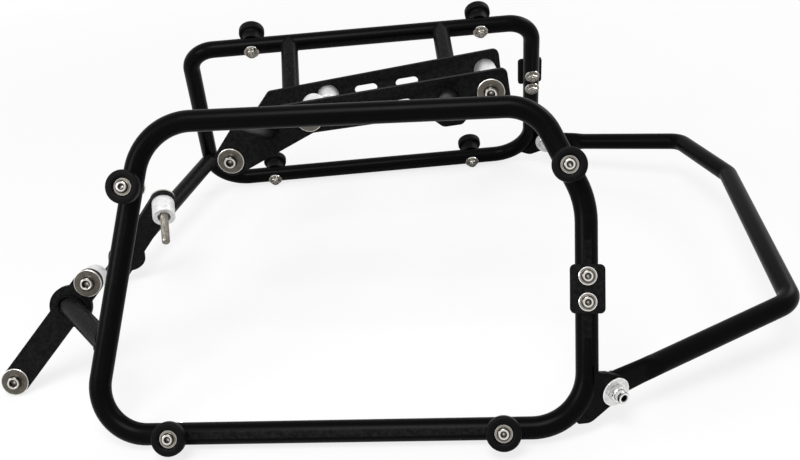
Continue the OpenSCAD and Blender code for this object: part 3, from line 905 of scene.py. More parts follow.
@dataclass(frozen=True)
class PlatedMetal:
    """Bare or plated metal with turning rings, a little haze, and painted shade in its hollows.

    The dark colour shows along the rings and in clouds; the edge colour is a painted highlight on edges.
    """

    name: str
    slot: str
    colour: tuple
    dark: tuple
    # The edge colour is a painted highlight.
    edge: tuple
    roughness: float
    ring_scale: float = 2600.0
    ring_depth: float = 0.00002
    ring_share: float = 0.4
    cloud_scale: float = 220.0
    cloud_share: float = 0.6
    haze: float = 0.12
    # Painted shade colour for hollows.
    painted_shade: tuple = (0.012, 0.011, 0.01)

    def build(self, shared: Effects) -> Look:
        """Makes the material.

        Args:
            shared: the effect groups.

        Returns:
            The finish.
        """
        material, sheet, shader = start_material(self.name)
        rings = sheet.group(shared.rings, Rings_per_Metre=self.ring_scale)["Fac"]
        cloud = sheet.ramp(sheet.noise(sheet.where(), self.cloud_scale, 4.0, 0.6), 0.35, 0.75)
        clouded = sheet.math("MULTIPLY", cloud, self.cloud_share)
        darkened = sheet.math("MULTIPLY_ADD", sheet.ramp(rings, 0.4, 0.7), self.ring_share, clouded)
        masks = sheet.group(shared.painted_light, Strength=1.0)
        colour = sheet.mix(darkened, (*self.colour, 1.0), (*self.dark, 1.0))
        # Painted highlight on edges, then painted shade in hollows, from the kept painted light.
        colour = sheet.mix(masks["Edge"], colour, (*self.edge, 1.0))
        colour = sheet.mix(masks["Painted Shade"], colour, (*self.painted_shade, 1.0))
        hazy = sheet.math("MULTIPLY", rings, self.haze)
        sheet.feed(
            shader,
            Base_Color=colour,
            Metallic=1.0,
            Roughness=sheet.math("ADD", self.roughness, hazy),
            Normal=sheet.bump(rings, self.ring_depth, 0.5),
        )
        return Look(material, self.slot)


# Each metal's edge colour is its painted highlight.
FINISHES = {
    "coat": PowderCoat("satin_black_coat", "frame_steel"),
    "plate_coat": PowderCoat("matte_black_coat", "plate_steel", roughness=0.46, depth=0.00002),
    "plastic": MouldedPlastic("puck_plastic", "puck"),
    "bolt": PlatedMetal(
        "bright_plate",
        "bolt_steel",
        colour=(0.33, 0.305, 0.27),
        dark=(0.11, 0.1, 0.083),
        edge=(0.9, 0.89, 0.86),
        roughness=0.12,
    ),
    "bright": PlatedMetal(
        "polished_plate",
        "bolt_steel",
        colour=(0.8, 0.8, 0.79),
        dark=(0.42, 0.42, 0.41),
        edge=(0.95, 0.95, 0.94),
        roughness=0.1,
    ),
    "washer": PlatedMetal(
        "brushed_washer",
        "washer_steel",
        colour=(0.13, 0.117, 0.1),
        dark=(0.055, 0.048, 0.04),
        edge=(0.62, 0.6, 0.56),
        roughness=0.26,
        ring_scale=1500.0,
    ),
    "spacer": PlatedMetal(
        "turned_aluminium",
        "spacer_metal",
        colour=(0.82, 0.82, 0.82),
        dark=(0.5, 0.5, 0.5),
        edge=(0.95, 0.95, 0.95),
        roughness=0.42,
        ring_scale=900.0,
    ),
}


# Fasteners


@dataclass(frozen=True)
class ButtonScrew:
    """A round-headed screw with a hexagon socket. Local Z points out of the head.

    The crown is the share of the radius that the dome loses, and the shoulder is the share of
    the height at which it starts.
    """

    shank_r: float
    head_r: float
    head_t: float
    socket_r: float
    pitch: float
    crown: float = 0.34
    shoulder: float = 0.22

    def head(self, place: Place, seat: float) -> Shape:
        """The head with its socket.

        The dome's height follows a sine of its share, and its radius falls with a power of it.

        Args:
            place: the screw's frame.
            seat: the height of the face under the head.

        Returns:
            The head.
        """
        r, t, hole = self.head_r, self.head_t, self.socket_r
        top = seat + t
        # The third value of each ring is painted light: a painted highlight above zero, painted shade
        # below.
        steps = [
            (self.shank_r, seat, 0.0, Ring.ROUND), (r - 0.25, seat, 0.0, Ring.ROUND),
            (r, seat + t * 0.1, 0.4, Ring.ROUND),
        ]
        for share in np.linspace(0, 1, 9):
            rise = self.shoulder + (1 - self.shoulder) * math.sin(share * math.pi / 2)
            # Painted highlight at the dome's rim and top, with a band of painted shade between.
            painted_light = 1.0 - 0.2 * share - 1.9 * math.sin(share * math.pi)
            steps.append((r - r * self.crown * share**2.2, seat + t * rise, painted_light, Ring.ROUND))
        # Painted shade down the socket, with a painted highlight on its lip and at its bottom.
        steps += [
            (hole * 1.22, top, 0.6, Ring.ROUND), (hole * 1.12, top - 0.18, -0.6, Ring.ROUND),
            (hole, top - 0.55, -1.0, Ring.HEXAGON), (hole * 0.98, top - t * 0.72, -1.0, Ring.HEXAGON),
            (hole * 0.5, top - t * 0.8, -0.7, Ring.ROUND), (0.05, top - t * 0.86, 0.8, Ring.ROUND),
        ]
        return stacked(place, steps)

    def shapes(self, place: Place, seat: float, tip: float, threaded: float) -> list:
        """The head, and the shank with its threaded end.

        Args:
            place: the screw's frame.
            seat: the height of the face under the head.
            tip: the height of the far end.
            threaded: how much of the shank's end shows its thread.

        Returns:
            The shapes.
        """
        r = self.shank_r
        sides = np.array([(r, tip + threaded), (r, seat + self.head_t * 0.05)])
        shank = lathe(place, sides, 32)
        return [self.head(place, seat), shank, thread(place, r, tip, tip + threaded, self.pitch)]


@dataclass(frozen=True)
class PlainWasher:
    """A stamped washer with eased edges, its low face at local zero."""

    hole_r: float
    outer_r: float
    thick: float

    def shapes(self, place: Place) -> list:
        """The washer, with a painted highlight on its rim and painted shade in its hole.

        Args:
            place: its frame.

        Returns:
            The washer, in a list.
        """
        ease = min(0.28, self.thick * 0.22)
        rim, hole, top = self.outer_r, self.hole_r, self.thick
        # The third value of each point is painted light: a painted highlight on the rim, painted shade in
        # the hole.
        steps = np.array([
            (hole, ease, -0.8), (hole + ease, 0, 0), (rim - ease, 0, 0), (rim, ease, 0.6),
            (rim, top - ease, 1), (rim - ease * 1.6, top, 0.8), (rim - ease * 3, top, 0),
            (hole + ease * 3, top, 0), (hole + ease, top, -0.4), (hole, top - ease, -0.9),
        ])
        return [lathe(place, steps[:, :2], 64, closed=True, painted_light=tuple(steps[:, 2]))]


@dataclass(frozen=True)
class LockNut:
    """A hexagon lock nut that hangs below local zero, with its insert's collar at the far end."""

    bolt_r: float
    corner_r: float
    thick: float

    def shapes(self, place: Place) -> list:
        """The nut with chamfered corners and its collar.

        Args:
            place: its frame.

        Returns:
            The nut, in a list.
        """
        low, r = -self.thick, self.corner_r
        hex_low, flat, hole = low * 0.72, r * 0.87, self.bolt_r * 0.9
        # The third value of each ring is painted light: painted highlights on chamfers and corners,
        # painted shade in the hole and recesses.
        steps = [
            (hole, low, -1.0, Ring.ROUND), (r * 0.6, low, 0.0, Ring.ROUND),
            (r * 0.68, low + 0.25, 0.4, Ring.ROUND), (r * 0.74, hex_low - 0.15, -0.5, Ring.ROUND),
            (flat, hex_low, -0.2, Ring.ROUND), (r, hex_low + 0.55, 0.7, Ring.HEXAGON),
            (r, -0.45, 0.7, Ring.HEXAGON), (flat, 0.0, -0.2, Ring.ROUND), (hole, 0.0, -0.8, Ring.ROUND),
        ]
        return [stacked(place, steps, closed=True)]


def hexagon_collar(place: Place, corner_r: float, thick: float) -> Shape:
    """The chamfered hexagon under a cap head, from local zero up.

    Args:
        place: its frame.
        corner_r: the distance of its corners.
        thick: its height.

    Returns:
        The collar.
    """
    flat = corner_r * 0.87
    # The third value of each ring is painted light: a painted highlight on the top edge, painted shade at
    # the foot and inside the top.
    return stacked(place, [
        (flat, 0.0, -0.6, Ring.ROUND), (corner_r, 0.4, 0.0, Ring.HEXAGON),
        (corner_r, thick - 0.5, 0.0, Ring.HEXAGON), (flat, thick, 0.8, Ring.ROUND),
        (flat * 0.75, thick, -0.7, Ring.ROUND),
    ])


def turned_spacer(place: Place, length: float) -> Shape:
    """A turned spacer that hangs below local zero, with eased ends and a well round the bolt's tip.

    Args:
        place: the spacer's frame.
        length: its length.

    Returns:
        The spacer.
    """
    outer, bore, well, depth = 11.0, 4.25, 6.16, 8.0
    corners = [
        (bore, -0.02), (outer, 0.0), (outer, -length), (well, -length), (well, -length + depth),
        (bore, -length + depth),
    ]
    return lathe(place, rounded(corners, 0.7, 3)[::-1], 64, closed=True)


SMALL_SCREW = ButtonScrew(shank_r=3.0, head_r=5.25, head_t=3.3, socket_r=2.3, pitch=1.0)
SMALL_WASHER = PlainWasher(hole_r=3.25, outer_r=8.0, thick=1.5)
TAB_WASHER = PlainWasher(hole_r=3.25, outer_r=7.1, thick=1.5)
PUCK_WASHER = PlainWasher(hole_r=3.25, outer_r=7.3, thick=1.2)
SMALL_NUT = LockNut(bolt_r=3.0, corner_r=5.76, thick=5.1)
BIG_SCREW = ButtonScrew(shank_r=4.0, head_r=6.6, head_t=4.7, socket_r=3.2, pitch=1.25)
BIG_WASHER = PlainWasher(hole_r=4.25, outer_r=12.0, thick=2.0)
BIG_NUT = LockNut(bolt_r=4.0, corner_r=7.44, thick=6.4)
CAP_SCREW = ButtonScrew(
    shank_r=4.0, head_r=4.9, head_t=6.2, socket_r=2.7, pitch=1.25, crown=0.12, shoulder=0.85
)


# Sub-assemblies


@dataclass(frozen=True)
class Hoop:
    """One side frame: where its pucks and its lock tab sit on the hoop.

    A spot is given along the hoop, up it, and as its bar's heading in degrees.
    """

    side: Side
    pucks: tuple
    tab: tuple
    puck_names: tuple = ("top_front", "top_rear", "bottom_front", "bottom_rear")
    puck_r: float = 13.75
    puck_neck_r: float = 9.4
    puck_disc_t: float = 8.5
    puck_round: float = 2.3
    puck_sides: int = 72
    round_steps: int = 5
    neck_flare: float = 1.0
    well_r: float = 7.5
    well_room: float = 0.6
    well_middle_r: float = 0.05
    saddle_depth: float = 3.0
    saddle_sink: float = 0.05
    threaded: float = 2.0

    def at(self, spot: tuple) -> Place:
        """The frame of a spot on the hoop, with X along its bar and Z outward."""
        along, up, heading = spot
        return RIG.hoop(self.side).move(along, up).turn(heading, "Z")

    def puck(self, place: Place, top: float, floor: float) -> Shape:
        """A moulded puck with rounded rims and a well for its screw; its foot laps the tube.

        Its lowest ring follows the tube, sunk a little into it: the height is the root of the
        radius squared less the distance from the bar's middle squared, and no lower than the
        saddle's depth.

        Args:
            place: the puck's frame.
            top: the height of its face.
            floor: the height of its well's floor.

        Returns:
            The puck.
        """
        neck, rim, well = self.puck_neck_r, self.puck_r, self.well_r
        disc = top - self.puck_disc_t
        profile = rounded([
            (neck, 0.0), (neck, disc - self.neck_flare), (rim, disc), (rim, top),
            (well, top), (well, floor), (self.well_middle_r, floor),
        ], self.puck_round, self.round_steps)
        rings = around_axis(np.repeat(profile[:, :1], self.puck_sides, 1), profile[:, 1])
        sunk_r = RIG.tube_r - self.saddle_sink
        saddle = np.sqrt(np.clip(sunk_r**2 - rings[0, :, 1] ** 2, 0, None))
        rings[0, :, 2] = np.maximum(saddle, RIG.tube_r - self.saddle_depth)
        return loft(place, rings)

    def build(self, looks: dict) -> None:
        """Models the pucks and all screws, washers and nuts of the side frame.

        Args:
            looks: the finishes by name.
        """
        name = self.side.value
        nut_seat = RIG.washer_seat - RIG.tube_r - SMALL_WASHER.thick
        tip = nut_seat - SMALL_NUT.thick
        top = RIG.tube_r + RIG.puck_t
        floor = top - SMALL_SCREW.head_t - self.well_room
        tab_seat = RIG.tube_r - RIG.washer_seat + RIG.tab_t
        pucks = [self.at(spot) for spot in self.pucks]
        tabs = [self.at(self.tab).move(end * RIG.tab_pitch / 2, 0) for end in (-1, 1)]
        for place, label in zip(pucks, self.puck_names):
            shape = self.puck(place, top, floor)
            finish_mesh(f"{name}_{label}_puck", [shape], looks["plastic"], f"{name}_puck_{label}_cap")
        for kind, places, seat, washer in (
            ("puck", pucks, floor, PUCK_WASHER), ("tab", tabs, tab_seat, TAB_WASHER),
        ):
            head = seat + (SMALL_WASHER.thick if kind == "tab" else washer.thick)
            screws, washers, nuts = [], [], []
            for place in places:
                low = place.move(0, 0, nut_seat)
                screws += SMALL_SCREW.shapes(place, head, tip, self.threaded)
                washers += washer.shapes(place.move(0, 0, seat)) + SMALL_WASHER.shapes(low)
                nuts += SMALL_NUT.shapes(low)
            finish_set(f"{name}_{kind}", (
                ("screws", screws, "bolt", f"{name}_{kind}_bolts"),
                ("washer_set", washers, "bolt", f"{name}_{kind}_washers"),
                ("lock_nuts", nuts, "bolt", f"{name}_{kind}_nuts"),
            ), looks)


@dataclass(frozen=True)
class UpperPlate:
    """One upper plate: its place, its mounting bolts and the stubs that join it to its hoop."""

    side: Side
    along: float
    height: float
    rise: float
    bolts: tuple = ((-79.0, -29.0), (0.0, 0.0), (161.0, 0.0))
    stubs: tuple = ((-39.0, -4.0), (124.0, -3.0))
    spacer_l: float = 30.0
    tip: float = 5.6
    thread_inside: float = 3.0
    bar_bead_r: float = 1.4
    plate_bead_r: float = 1.5

    def place(self) -> Place:
        """The plate's frame."""
        return RIG.plate(self.side, self.along, self.height, self.rise)

    def build(self, looks: dict) -> None:
        """Models the plate's bolts, washers, spacers and the beads of its stubs.

        Args:
            looks: the finishes by name.
        """
        name = self.side.value
        face = RIG.plate_t / 2
        screws, washers, spacers = [], [], []
        for x, y in self.bolts:
            spot = self.place().move(x, y)
            end = -face - self.spacer_l - self.tip
            screws += BIG_SCREW.shapes(spot, face + BIG_WASHER.thick, end, self.tip + self.thread_inside)
            washers += BIG_WASHER.shapes(spot.move(0, 0, face))
            spacers.append(turned_spacer(spot.move(0, 0, -face), self.spacer_l))
        finish_set(f"{name}_plate", (
            ("screws", screws, "bolt", f"{name}_plate_bolts"),
            ("broad_washers", washers, "washer", f"{name}_plate_washers"),
            ("turned_spacers", spacers, "spacer", f"{name}_plate_spacers"),
        ), looks)
        finish_mesh(f"{name}_stub_welds", self.welds(), looks["coat"])

    def welds(self) -> list:
        """Shapes the beads at both ends of both stubs.

        Returns:
            The four beads.
        """
        hoop, plate = RIG.hoop(self.side), self.place()
        beads = []
        for x, y in self.stubs:
            stub = Pipe(hoop.spot(x + self.along, self.height), plate.spot(x, y), RIG.tube_r)
            beads.append(stub.weld_to_bar(hoop.along(), RIG.tube_r, self.bar_bead_r))
            seat = plate.spot(x, y, RIG.plate_t / 2)
            beads.append(stub.weld_to_face(seat, plate.outward(), self.plate_bead_r))
        return beads


@dataclass(frozen=True)
class FootMount:
    """One foot mount: its arm's root on the hoop, the bar's place and turn, and its two bolts."""

    side: Side
    root: tuple
    root_heading: float
    offset: tuple
    aim: tuple
    up_arm: float
    down_arm: float
    free: float
    spacer_l: float = 21.0
    lower_tip: float = 7.0
    thread_inside: float = 3.0
    bead_r: float = 1.8

    def place(self) -> Place:
        """The foot bar's frame.

        Returns:
            A frame with X up along the bar and Z outward, its outer face at zero.
        """
        spot = RIG.drawn_hoop().spot(*self.root) + np.array(self.offset)
        heading, lean, turn = self.aim
        place = RIG.base(self.side).move(*spot).turn(heading, "Z")
        return place.turn(90 - lean, "X").turn(turn, "Z")

    def build(self, looks: dict) -> None:
        """Models the foot bar's bolts, washers, spacer and nut, and the beads of its arm.

        Args:
            looks: the finishes by name.
        """
        name = self.side.value
        upper = self.place().move(self.up_arm, 0)
        lower = self.place().move(-self.down_arm, 0)
        back = -RIG.foot_bar_t
        upper_end = back - self.spacer_l - self.free
        lower_end = back - BIG_NUT.thick - self.lower_tip
        threaded = self.free + self.thread_inside
        screws = BIG_SCREW.shapes(upper, BIG_WASHER.thick, upper_end, threaded)
        screws += BIG_SCREW.shapes(lower, BIG_WASHER.thick, lower_end, self.lower_tip)
        washers = BIG_WASHER.shapes(upper) + BIG_WASHER.shapes(lower)
        spacer = turned_spacer(upper.move(0, 0, back), self.spacer_l)
        finish_set(f"{name}_foot", (
            ("screws", screws, "bolt", f"{name}_foot_bolts"),
            ("broad_washers", washers, "washer", f"{name}_foot_washers"),
            ("turned_spacer", [spacer], "spacer", f"{name}_foot_spacer"),
            ("lock_nut", BIG_NUT.shapes(lower.move(0, 0, back)), "bolt", f"{name}_foot_nut"),
        ), looks)
        finish_mesh(f"{name}_foot_arm_welds", self.welds(), looks["coat"])

    def welds(self) -> list:
        """Shapes the beads at both ends of the arm.

        Returns:
            The two beads.
        """
        hoop, bar = RIG.hoop(self.side), self.place()
        arm = Pipe(hoop.spot(*self.root), bar.spot(0.0, 0.0), RIG.tube_r)
        along = hoop.turn(self.root_heading, "Z").along()
        return [
            arm.weld_to_bar(along, RIG.tube_r, self.bead_r),
            arm.weld_to_face(arm.end, bar.outward(), self.bead_r),
        ]


@dataclass(frozen=True)
class RearCorner:
    """A hoop's bottom rear corner: its sharp corner's place, its bend and its rear bar's rake."""

    side: Side
    rear: float
    radius: float
    rake: float

    def middle_line(self, count: int = 9) -> np.ndarray:
        """Points of the tube's middle line from halfway round the bend to its upper end.

        Args:
            count: how many points.

        Returns:
            The points of the arc, in the part's millimetres.
        """
        turn = math.radians(90 - self.rake)
        angles = np.linspace(turn / 2, turn, count)
        along = self.rear - self.radius * math.tan(turn / 2) + self.radius * np.sin(angles)
        up = self.radius - self.radius * np.cos(angles)
        return RIG.hoop(self.side).points(np.stack([along, up, np.zeros(count)], 1))


@dataclass(frozen=True)
class Gusset:
    """A corner gusset, drawn from its bolt: X along the crossbar's arm, Y up.

    The steps say how far its top, its fillet's bend and its low point lie from the two ends of
    the tube's middle line.
    """

    thick: float = 5.0
    bevel: float = 0.35
    nose_r: float = 12.8
    nose_from: float = 57.0
    edge_gap: float = 9.7
    lower_edge: tuple = (0.943, 0.333)
    heel: tuple = (-24.9, -19.2)
    heel_round: float = 4.0
    shoulder: tuple = (-4.0, 18.6)
    top_step: tuple = (3.1, 7.9)
    bend_step: tuple = (1.9, 3.3)
    low_step: tuple = (1.1, -8.8)
    fillet_points: int = 8
    nose_points: int = 14
    heel_points: int = 6

    def outline(self, border: np.ndarray) -> np.ndarray:
        """The outline: up the tube, down a fillet, round the nose and the heel, and back.

        Args:
            border: the tube's middle line in the gusset's plane, from low to high.

        Returns:
            The outline's points.
        """
        edge, heel, low = np.array(self.lower_edge), np.array(self.heel), border[0] + self.low_step
        top, bend = border[-1] + self.top_step, border[-1] + self.bend_step
        fillet = curve(top, bend, np.array(self.shoulder), self.fillet_points)
        nose_to = math.atan2(-edge[0], edge[1]) + math.acos(self.edge_gap / self.nose_r)
        angles = np.linspace(math.radians(self.nose_from), nose_to, self.nose_points)
        nose = self.nose_r * np.stack([np.cos(angles), np.sin(angles)], 1)
        after = heel + unit(low - heel) * self.heel_round
        bottom = curve(heel + edge * self.heel_round, heel, after, self.heel_points)
        return np.concatenate([border, fillet, nose, bottom, low[None]])[::-1]

    def shape(self, place: Place, middle_line: np.ndarray, base: float) -> Shape:
        """The plate, whose rings are the outline, pulled in by the bevel at both faces.

        Args:
            place: the bolt's frame.
            middle_line: the tube's middle line, in the part's millimetres.
            base: the height of the plate's inner face.

        Returns:
            The gusset.
        """
        outline = self.outline(place.inverse().points(middle_line)[:, :2])
        edge = np.roll(outline, -1, 0) - np.roll(outline, 1, 0)
        inward = unit(np.stack([-edge[:, 1], edge[:, 0]], 1))
        rim, thick = self.bevel, self.thick
        rings = [
            np.column_stack([outline + inward * step, np.full(len(outline), base + height)])
            for step, height in ((rim, 0.0), (0.0, rim), (0.0, thick - rim), (rim, thick))
        ]
        return loft(place, np.array(rings))


@dataclass(frozen=True)
class Crossbar:
    """The bent tube behind the wheel with its flattened eyes, and what bolts it to the hoops.

    The ends are given in the tube's own plane, X back and Y across. They are set by the
    photograph, a few millimetres from the solids' ends.
    """

    plane_x: float = 187.1
    bolt_height: float = 21.0
    rise: float = 7.0
    heading: float = 25.0
    left_end: tuple = (2.7, -254.3)
    left_arm: float = 183.7
    right_end: tuple = (12.2, 249.7)
    right_arm: float = 159.7
    slant: float = 107.2
    slant_angle: float = 14.7
    bend_r: float = 22.0
    eye_t: float = 6.0
    eye_r: float = 12.0
    flat_l: float = 32.0
    blend_l: float = 16.0
    flat_end_r: float = 10.6
    flat_power: float = 0.45
    tip_from: float = 0.06
    tip_rings: int = 12
    step: float = 1.5
    step_gap: float = 1.0
    bend_points: int = 25
    sides: int = 32
    collar_r: float = 7.3
    collar_t: float = 4.6
    free: float = 2.0
    threaded: float = 4.0
    corners: tuple = (
        RearCorner(Side.LEFT, rear=170.0, radius=44.0, rake=1.6),
        RearCorner(Side.RIGHT, rear=182.4, radius=42.0, rake=-2.9),
    )
    gusset: Gusset = Gusset()

    def plane(self) -> Place:
        """The tube's plane, X back and up its rise, Y across."""
        height = RIG.bar_height + self.bolt_height
        return Place.origin().move(self.plane_x - RIG.middle_x, 0.0, height).turn(-self.rise, "Y")

    def bolt(self, side: Side) -> Place:
        """A bolt's frame.

        Args:
            side: which side.

        Returns:
            A frame with X along the arm, Y up and Z along the bolt towards the outside.
        """
        x, y = self.left_end if side is Side.LEFT else self.right_end
        place = self.plane().move(x, y)
        place = place.mirror() if side is Side.RIGHT else place
        return place.turn(self.heading, "Z").turn(90, "X")

    def knees(self) -> list:
        """The eyes' middles and the sharp corners between them.

        Returns:
            Five points in the plane, from left to right.
        """
        heading = math.radians(self.heading)
        slant = math.radians(self.slant_angle)
        left, right = np.array(self.left_end), np.array(self.right_end)
        left_knee = left + self.left_arm * np.array([math.cos(heading), math.sin(heading)])
        right_knee = right + self.right_arm * np.array([math.cos(heading), -math.sin(heading)])
        slant_knee = right_knee + self.slant * np.array([math.sin(slant), -math.cos(slant)])
        return [left, left_knee, slant_knee, right_knee, right]

    def line(self) -> np.ndarray:
        """The tube's middle line, from one eye's far edge to the other's, with round bends.

        Returns:
            The line's points in the plane; each bend is an arc that touches both its straights.
        """
        knees = self.knees()
        points = [knees[0] - unit(knees[1] - knees[0]) * self.eye_r]
        for before, here, after in zip(knees, knees[1:], knees[2:]):
            into, away = unit(here - before), unit(after - here)
            turn = math.acos(np.clip(into @ away, -1, 1))
            middle = here + unit(away - into) * self.bend_r / math.cos(turn / 2)
            spoke = here - into * self.bend_r * math.tan(turn / 2) - middle
            points += [
                middle + math.cos(angle) * spoke + math.sin(angle) * self.bend_r * into
                for angle in np.linspace(0, turn, self.bend_points)
            ]
        points.append(knees[-1] - unit(knees[-2] - knees[-1]) * self.eye_r)
        return np.array(points)

    def tube(self) -> Shape:
        """The tube: round along its length, flattened to an eye at each end.

        Each section is a superellipse: the cosine and sine of an angle, each raised to a power
        that goes from one where the tube is round to the flat power where it is flat.

        Returns:
            The tube.
        """
        line = self.line()
        reach = np.concatenate([[0.0], np.linalg.norm(np.diff(line, axis=0), axis=1).cumsum()])
        opening = np.linspace(self.tip_from, math.pi / 2, self.tip_rings)
        tip = self.eye_r * (1 - np.cos(opening))
        last = reach[-1] - self.eye_r - self.step_gap
        middle = np.arange(self.eye_r + self.step, last, self.step)
        stations = np.concatenate([tip, middle, (reach[-1] - tip)[::-1]])
        spine = np.stack([np.interp(stations, reach, line[:, axis]) for axis in (0, 1)], 1)
        way = unit(np.gradient(spine, stations, axis=0))
        from_eye = np.minimum(stations, reach[-1] - stations) - self.eye_r
        swell = eased((from_eye - self.flat_l) / self.blend_l)
        taper = np.clip(from_eye / self.flat_l, 0, 1) * (self.flat_end_r - self.eye_r)
        tall = self.eye_r + taper + swell * (RIG.tube_r - self.flat_end_r)
        tall = np.where(from_eye < 0, np.sqrt(self.eye_r**2 - np.minimum(from_eye, 0) ** 2), tall)
        thick = self.eye_t / 2 + (RIG.tube_r - self.eye_t / 2) * swell
        power = (self.flat_power + (1 - self.flat_power) * swell)[:, None]
        cos, sin = circle(self.sides).T
        across = np.sign(cos) * np.abs(cos) ** power * thick[:, None]
        rings = np.empty((len(stations), self.sides, 3))
        rings[:, :, 0] = spine[:, 0, None] + across * way[:, 1, None]
        rings[:, :, 1] = spine[:, 1, None] - across * way[:, 0, None]
        rings[:, :, 2] = np.sign(sin) * np.abs(sin) ** power * tall[:, None]
        return loft(self.plane(), rings)

    def build(self, looks: dict) -> None:
        """Models the tube, both gussets, and the two bolts with their washers and nuts.

        Args:
            looks: the finishes by name.
        """
        finish_mesh("crossbar_tube", [self.tube()], looks["coat"], "rear_crossbar")
        eye_face = self.eye_t / 2
        for corner in self.corners:
            name = f"{corner.side.value}_gusset"
            plate = self.gusset.shape(self.bolt(corner.side), corner.middle_line(), eye_face)
            finish_mesh(f"{name}_plate", [plate], looks["plate_coat"], name)
        gusset_top = eye_face + self.gusset.thick
        seat = gusset_top + BIG_WASHER.thick
        nut_seat = -eye_face - BIG_WASHER.thick
        tip = nut_seat - BIG_NUT.thick - self.free
        screws, washers, nuts = [], [], []
        for side in Side:
            place = self.bolt(side)
            low = place.move(0, 0, nut_seat)
            screws.append(hexagon_collar(place.move(0, 0, seat), self.collar_r, self.collar_t))
            screws += CAP_SCREW.shapes(place, seat + self.collar_t, tip, self.threaded)
            washers += BIG_WASHER.shapes(place.move(0, 0, gusset_top)) + BIG_WASHER.shapes(low)
            nuts += BIG_NUT.shapes(low)
        finish_set("crossbar", (
            ("screws", screws, "bright", "crossbar_bolts"),
            ("washer_set", washers, "bright", "crossbar_washers"),
            ("lock_nuts", nuts, "bright", "crossbar_nuts"),
        ), looks)


SUB_ASSEMBLIES = (
    Hoop(
        Side.LEFT,
        pucks=((-187.947, 200.0, 78.4), (161.87, 203.6, 115.29), (-158.0, 0.0, 0.0), (105.0, 0.0, 0.0)),
        tab=(173.022, 108.2, 88.4),
    ),
    Hoop(
        Side.RIGHT,
        pucks=((-131.0, 216.0, 0.0), (115.0, 216.0, 0.0), (-134.5, 0.0, 0.0), (109.0, 0.0, 0.0)),
        tab=(175.764, 131.0, 92.9),
    ),
    UpperPlate(Side.LEFT, along=-56.3, height=252.0, rise=6.0),
    UpperPlate(Side.RIGHT, along=-51.6, height=216.0, rise=4.6),
    FootMount(
        Side.LEFT,
        root=(-213.954, 73.3),
        root_heading=78.4,
        offset=(-50.3, 70.3, -2.8),
        aim=(2.0, 16.4, 47.9),
        up_arm=26.8,
        down_arm=86.0,
        free=5.6,
    ),
    FootMount(
        Side.RIGHT,
        root=(-204.0, 42.3),
        root_heading=87.4,
        offset=(-57.2, 214.0, -15.4),
        aim=(-11.4, 19.4, 55.8),
        up_arm=86.0,
        down_arm=26.8,
        free=34.0,
    ),
    Crossbar(),
)


def dress_cad(looks: dict) -> None:
    """Gives every CAD node that stays the first finish of its material slot.

    Args:
        looks: the finishes by name.
    """
    slots = {row["node"]: row["material_slot"] for row in frame["record"]["subparts"]}
    finish_of = {}
    for look in looks.values():
        finish_of.setdefault(look.slot, look.material)
    for name, node in frame["nodes"].items():
        node.data.materials.clear()
        node.data.materials.append(finish_of[slots[name]])


# Stage


@dataclass(frozen=True)
class Lamp:
    """A square soft light: its place and side in metres, and its power in watts."""

    name: str
    spot: tuple
    size: float
    power: float
    aim: tuple = (0.0, 0.0, 0.1)

    def build(self) -> None:
        """Hangs the lamp and turns it to its aim."""
        data = bpy.data.lights.new(self.name, "AREA")
        data.size = self.size
        data.energy = self.power
        spot = Vector(self.spot)
        turned = (Vector(self.aim) - spot).to_track_quat("-Z", "Y").to_matrix().to_4x4()
        add_object(self.name, data).matrix_world = Matrix.Translation(spot) @ turned


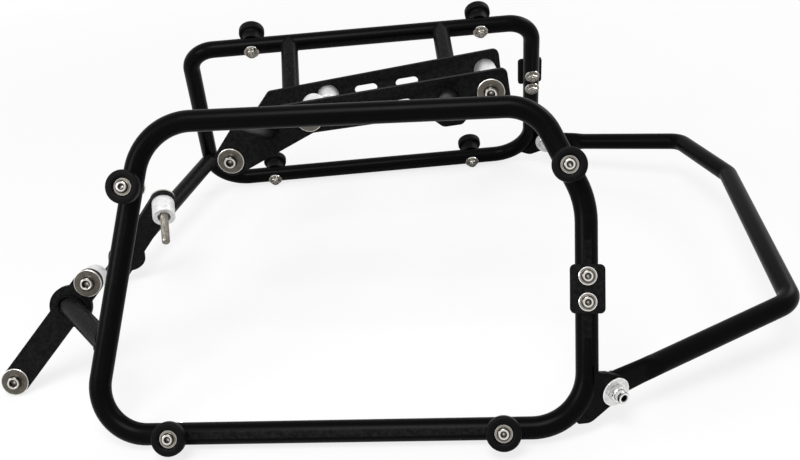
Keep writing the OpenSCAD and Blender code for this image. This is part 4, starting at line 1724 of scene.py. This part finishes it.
@dataclass(frozen=True)
class Studio:
    """The floor, the light and the camera.

    The camera's values come from fitting the hoops' corners to the photograph. Its focal length
    is in the photograph's pixels, its place in the part's millimetres, its angles in degrees.
    """

    focal_px: float = 1065.333
    photo_width: float = 800.0
    sensor_mm: float = 36.0
    camera_mm: tuple = (41.465, -947.394, 533.617)
    yaw: float = -2.45
    pitch: float = 26.86
    roll: float = -4.72
    floor_half: float = 4.0
    floor_colour: tuple = (0.86, 0.86, 0.86, 1.0)
    floor_glow: float = 0.78
    fade_from: float = 0.5
    fade_to: float = 1.5
    surround_light: float = 0.4
    lamps: tuple = (
        Lamp("overhead", (-0.2, -0.95, 1.75), 0.85, 24.0),
        Lamp("left_front", (-1.5, -1.2, 1.0), 0.7, 14.0),
        Lamp("right_back", (1.4, 1.1, 1.2), 0.8, 10.0),
    )

    def camera(self) -> None:
        """Puts the camera where the photograph was taken from."""
        yaw, pitch, roll = (math.radians(a) for a in (self.yaw, self.pitch, self.roll))
        level = Vector((math.sin(yaw), math.cos(yaw), 0.0)) * math.cos(pitch)
        ahead = level - Vector((0.0, 0.0, math.sin(pitch)))
        right = Vector((math.cos(yaw), -math.sin(yaw), 0.0))
        up = right.cross(ahead)
        right_rolled = right * math.cos(roll) + up * math.sin(roll)
        up_rolled = -right * math.sin(roll) + up * math.cos(roll)
        data = bpy.data.cameras.new("photo_camera")
        data.sensor_width = self.sensor_mm
        data.lens = self.focal_px / self.photo_width * self.sensor_mm
        data.clip_start = 0.05
        camera = add_object("photo_camera", data)
        turned = Matrix((right_rolled, up_rolled, -ahead)).transposed().to_4x4()
        camera.matrix_world = Matrix.Translation(Vector(self.camera_mm) * MM) @ turned
        bpy.context.scene.camera = camera

    def floor(self) -> None:
        """A plain white floor that keeps a soft shadow near the set and fades to the background."""
        mesh = bpy.data.meshes.new("floor")
        half = self.floor_half
        corners = [(-half, -half, 0), (half, -half, 0), (half, half, 0), (-half, half, 0)]
        mesh.from_pydata(corners, [], [(0, 1, 2, 3)])
        material, sheet, shader = start_material("floor_white")
        sheet.tree.nodes.remove(shader)
        plain = sheet.feed(sheet.add("ShaderNodeBsdfDiffuse"), Color=self.floor_colour)
        glow = sheet.feed(sheet.add("ShaderNodeEmission"), Strength=1.0)
        seen = sheet.add("ShaderNodeLightPath").outputs["Is Camera Ray"]
        reach = sheet.add("ShaderNodeVectorMath", operation="LENGTH")
        sheet.put(reach.inputs[0], sheet.where())
        far = sheet.ramp(reach.outputs["Value"], self.fade_from, self.fade_to)
        glowing = sheet.math("MULTIPLY_ADD", far, 1 - self.floor_glow, self.floor_glow)
        mix = sheet.add("ShaderNodeMixShader")
        for socket, value in zip(
            mix.inputs, (sheet.math("MULTIPLY", seen, glowing), plain.outputs[0], glow.outputs[0])
        ):
            sheet.put(socket, value)
        sheet.put(sheet.tree.nodes["Material Output"].inputs["Surface"], mix.outputs[0])
        mesh.materials.append(material)
        add_object("floor", mesh)

    def world(self) -> None:
        """A pale surround: white to the camera and in mirrors, dimmer as a light."""
        world = bpy.data.worlds.new("surround")
        bpy.context.scene.world = world
        world.use_nodes = True
        sheet = NodeSheet(world.node_tree)
        back = sheet.feed(sheet.tree.nodes["Background"], Color=(1.0, 1.0, 1.0, 1.0))
        path = sheet.add("ShaderNodeLightPath").outputs
        mirrored = sheet.math("MAXIMUM", path["Is Glossy Ray"], path["Is Transmission Ray"])
        seen = sheet.math("MAXIMUM", path["Is Camera Ray"], mirrored)
        light = self.surround_light
        sheet.feed(back, Strength=sheet.math("MULTIPLY_ADD", seen, 1 - light, light))

    def build(self) -> None:
        """Sets the whole stage."""
        self.camera()
        self.floor()
        self.world()
        for lamp in self.lamps:
            lamp.build()
        bpy.context.scene.view_settings.view_transform = "Standard"


def main() -> None:
    """Builds the stage, the finishes and the sub-assemblies in order."""
    logging.basicConfig(level=logging.INFO, format="%(name)s: %(message)s")
    Studio().build()
    shared = Effects.build()
    looks = {name: finish.build(shared) for name, finish in FINISHES.items()}
    dress_cad(looks)
    for assembly in SUB_ASSEMBLIES:
        assembly.build(looks)


if __name__ == "__main__":
    main()
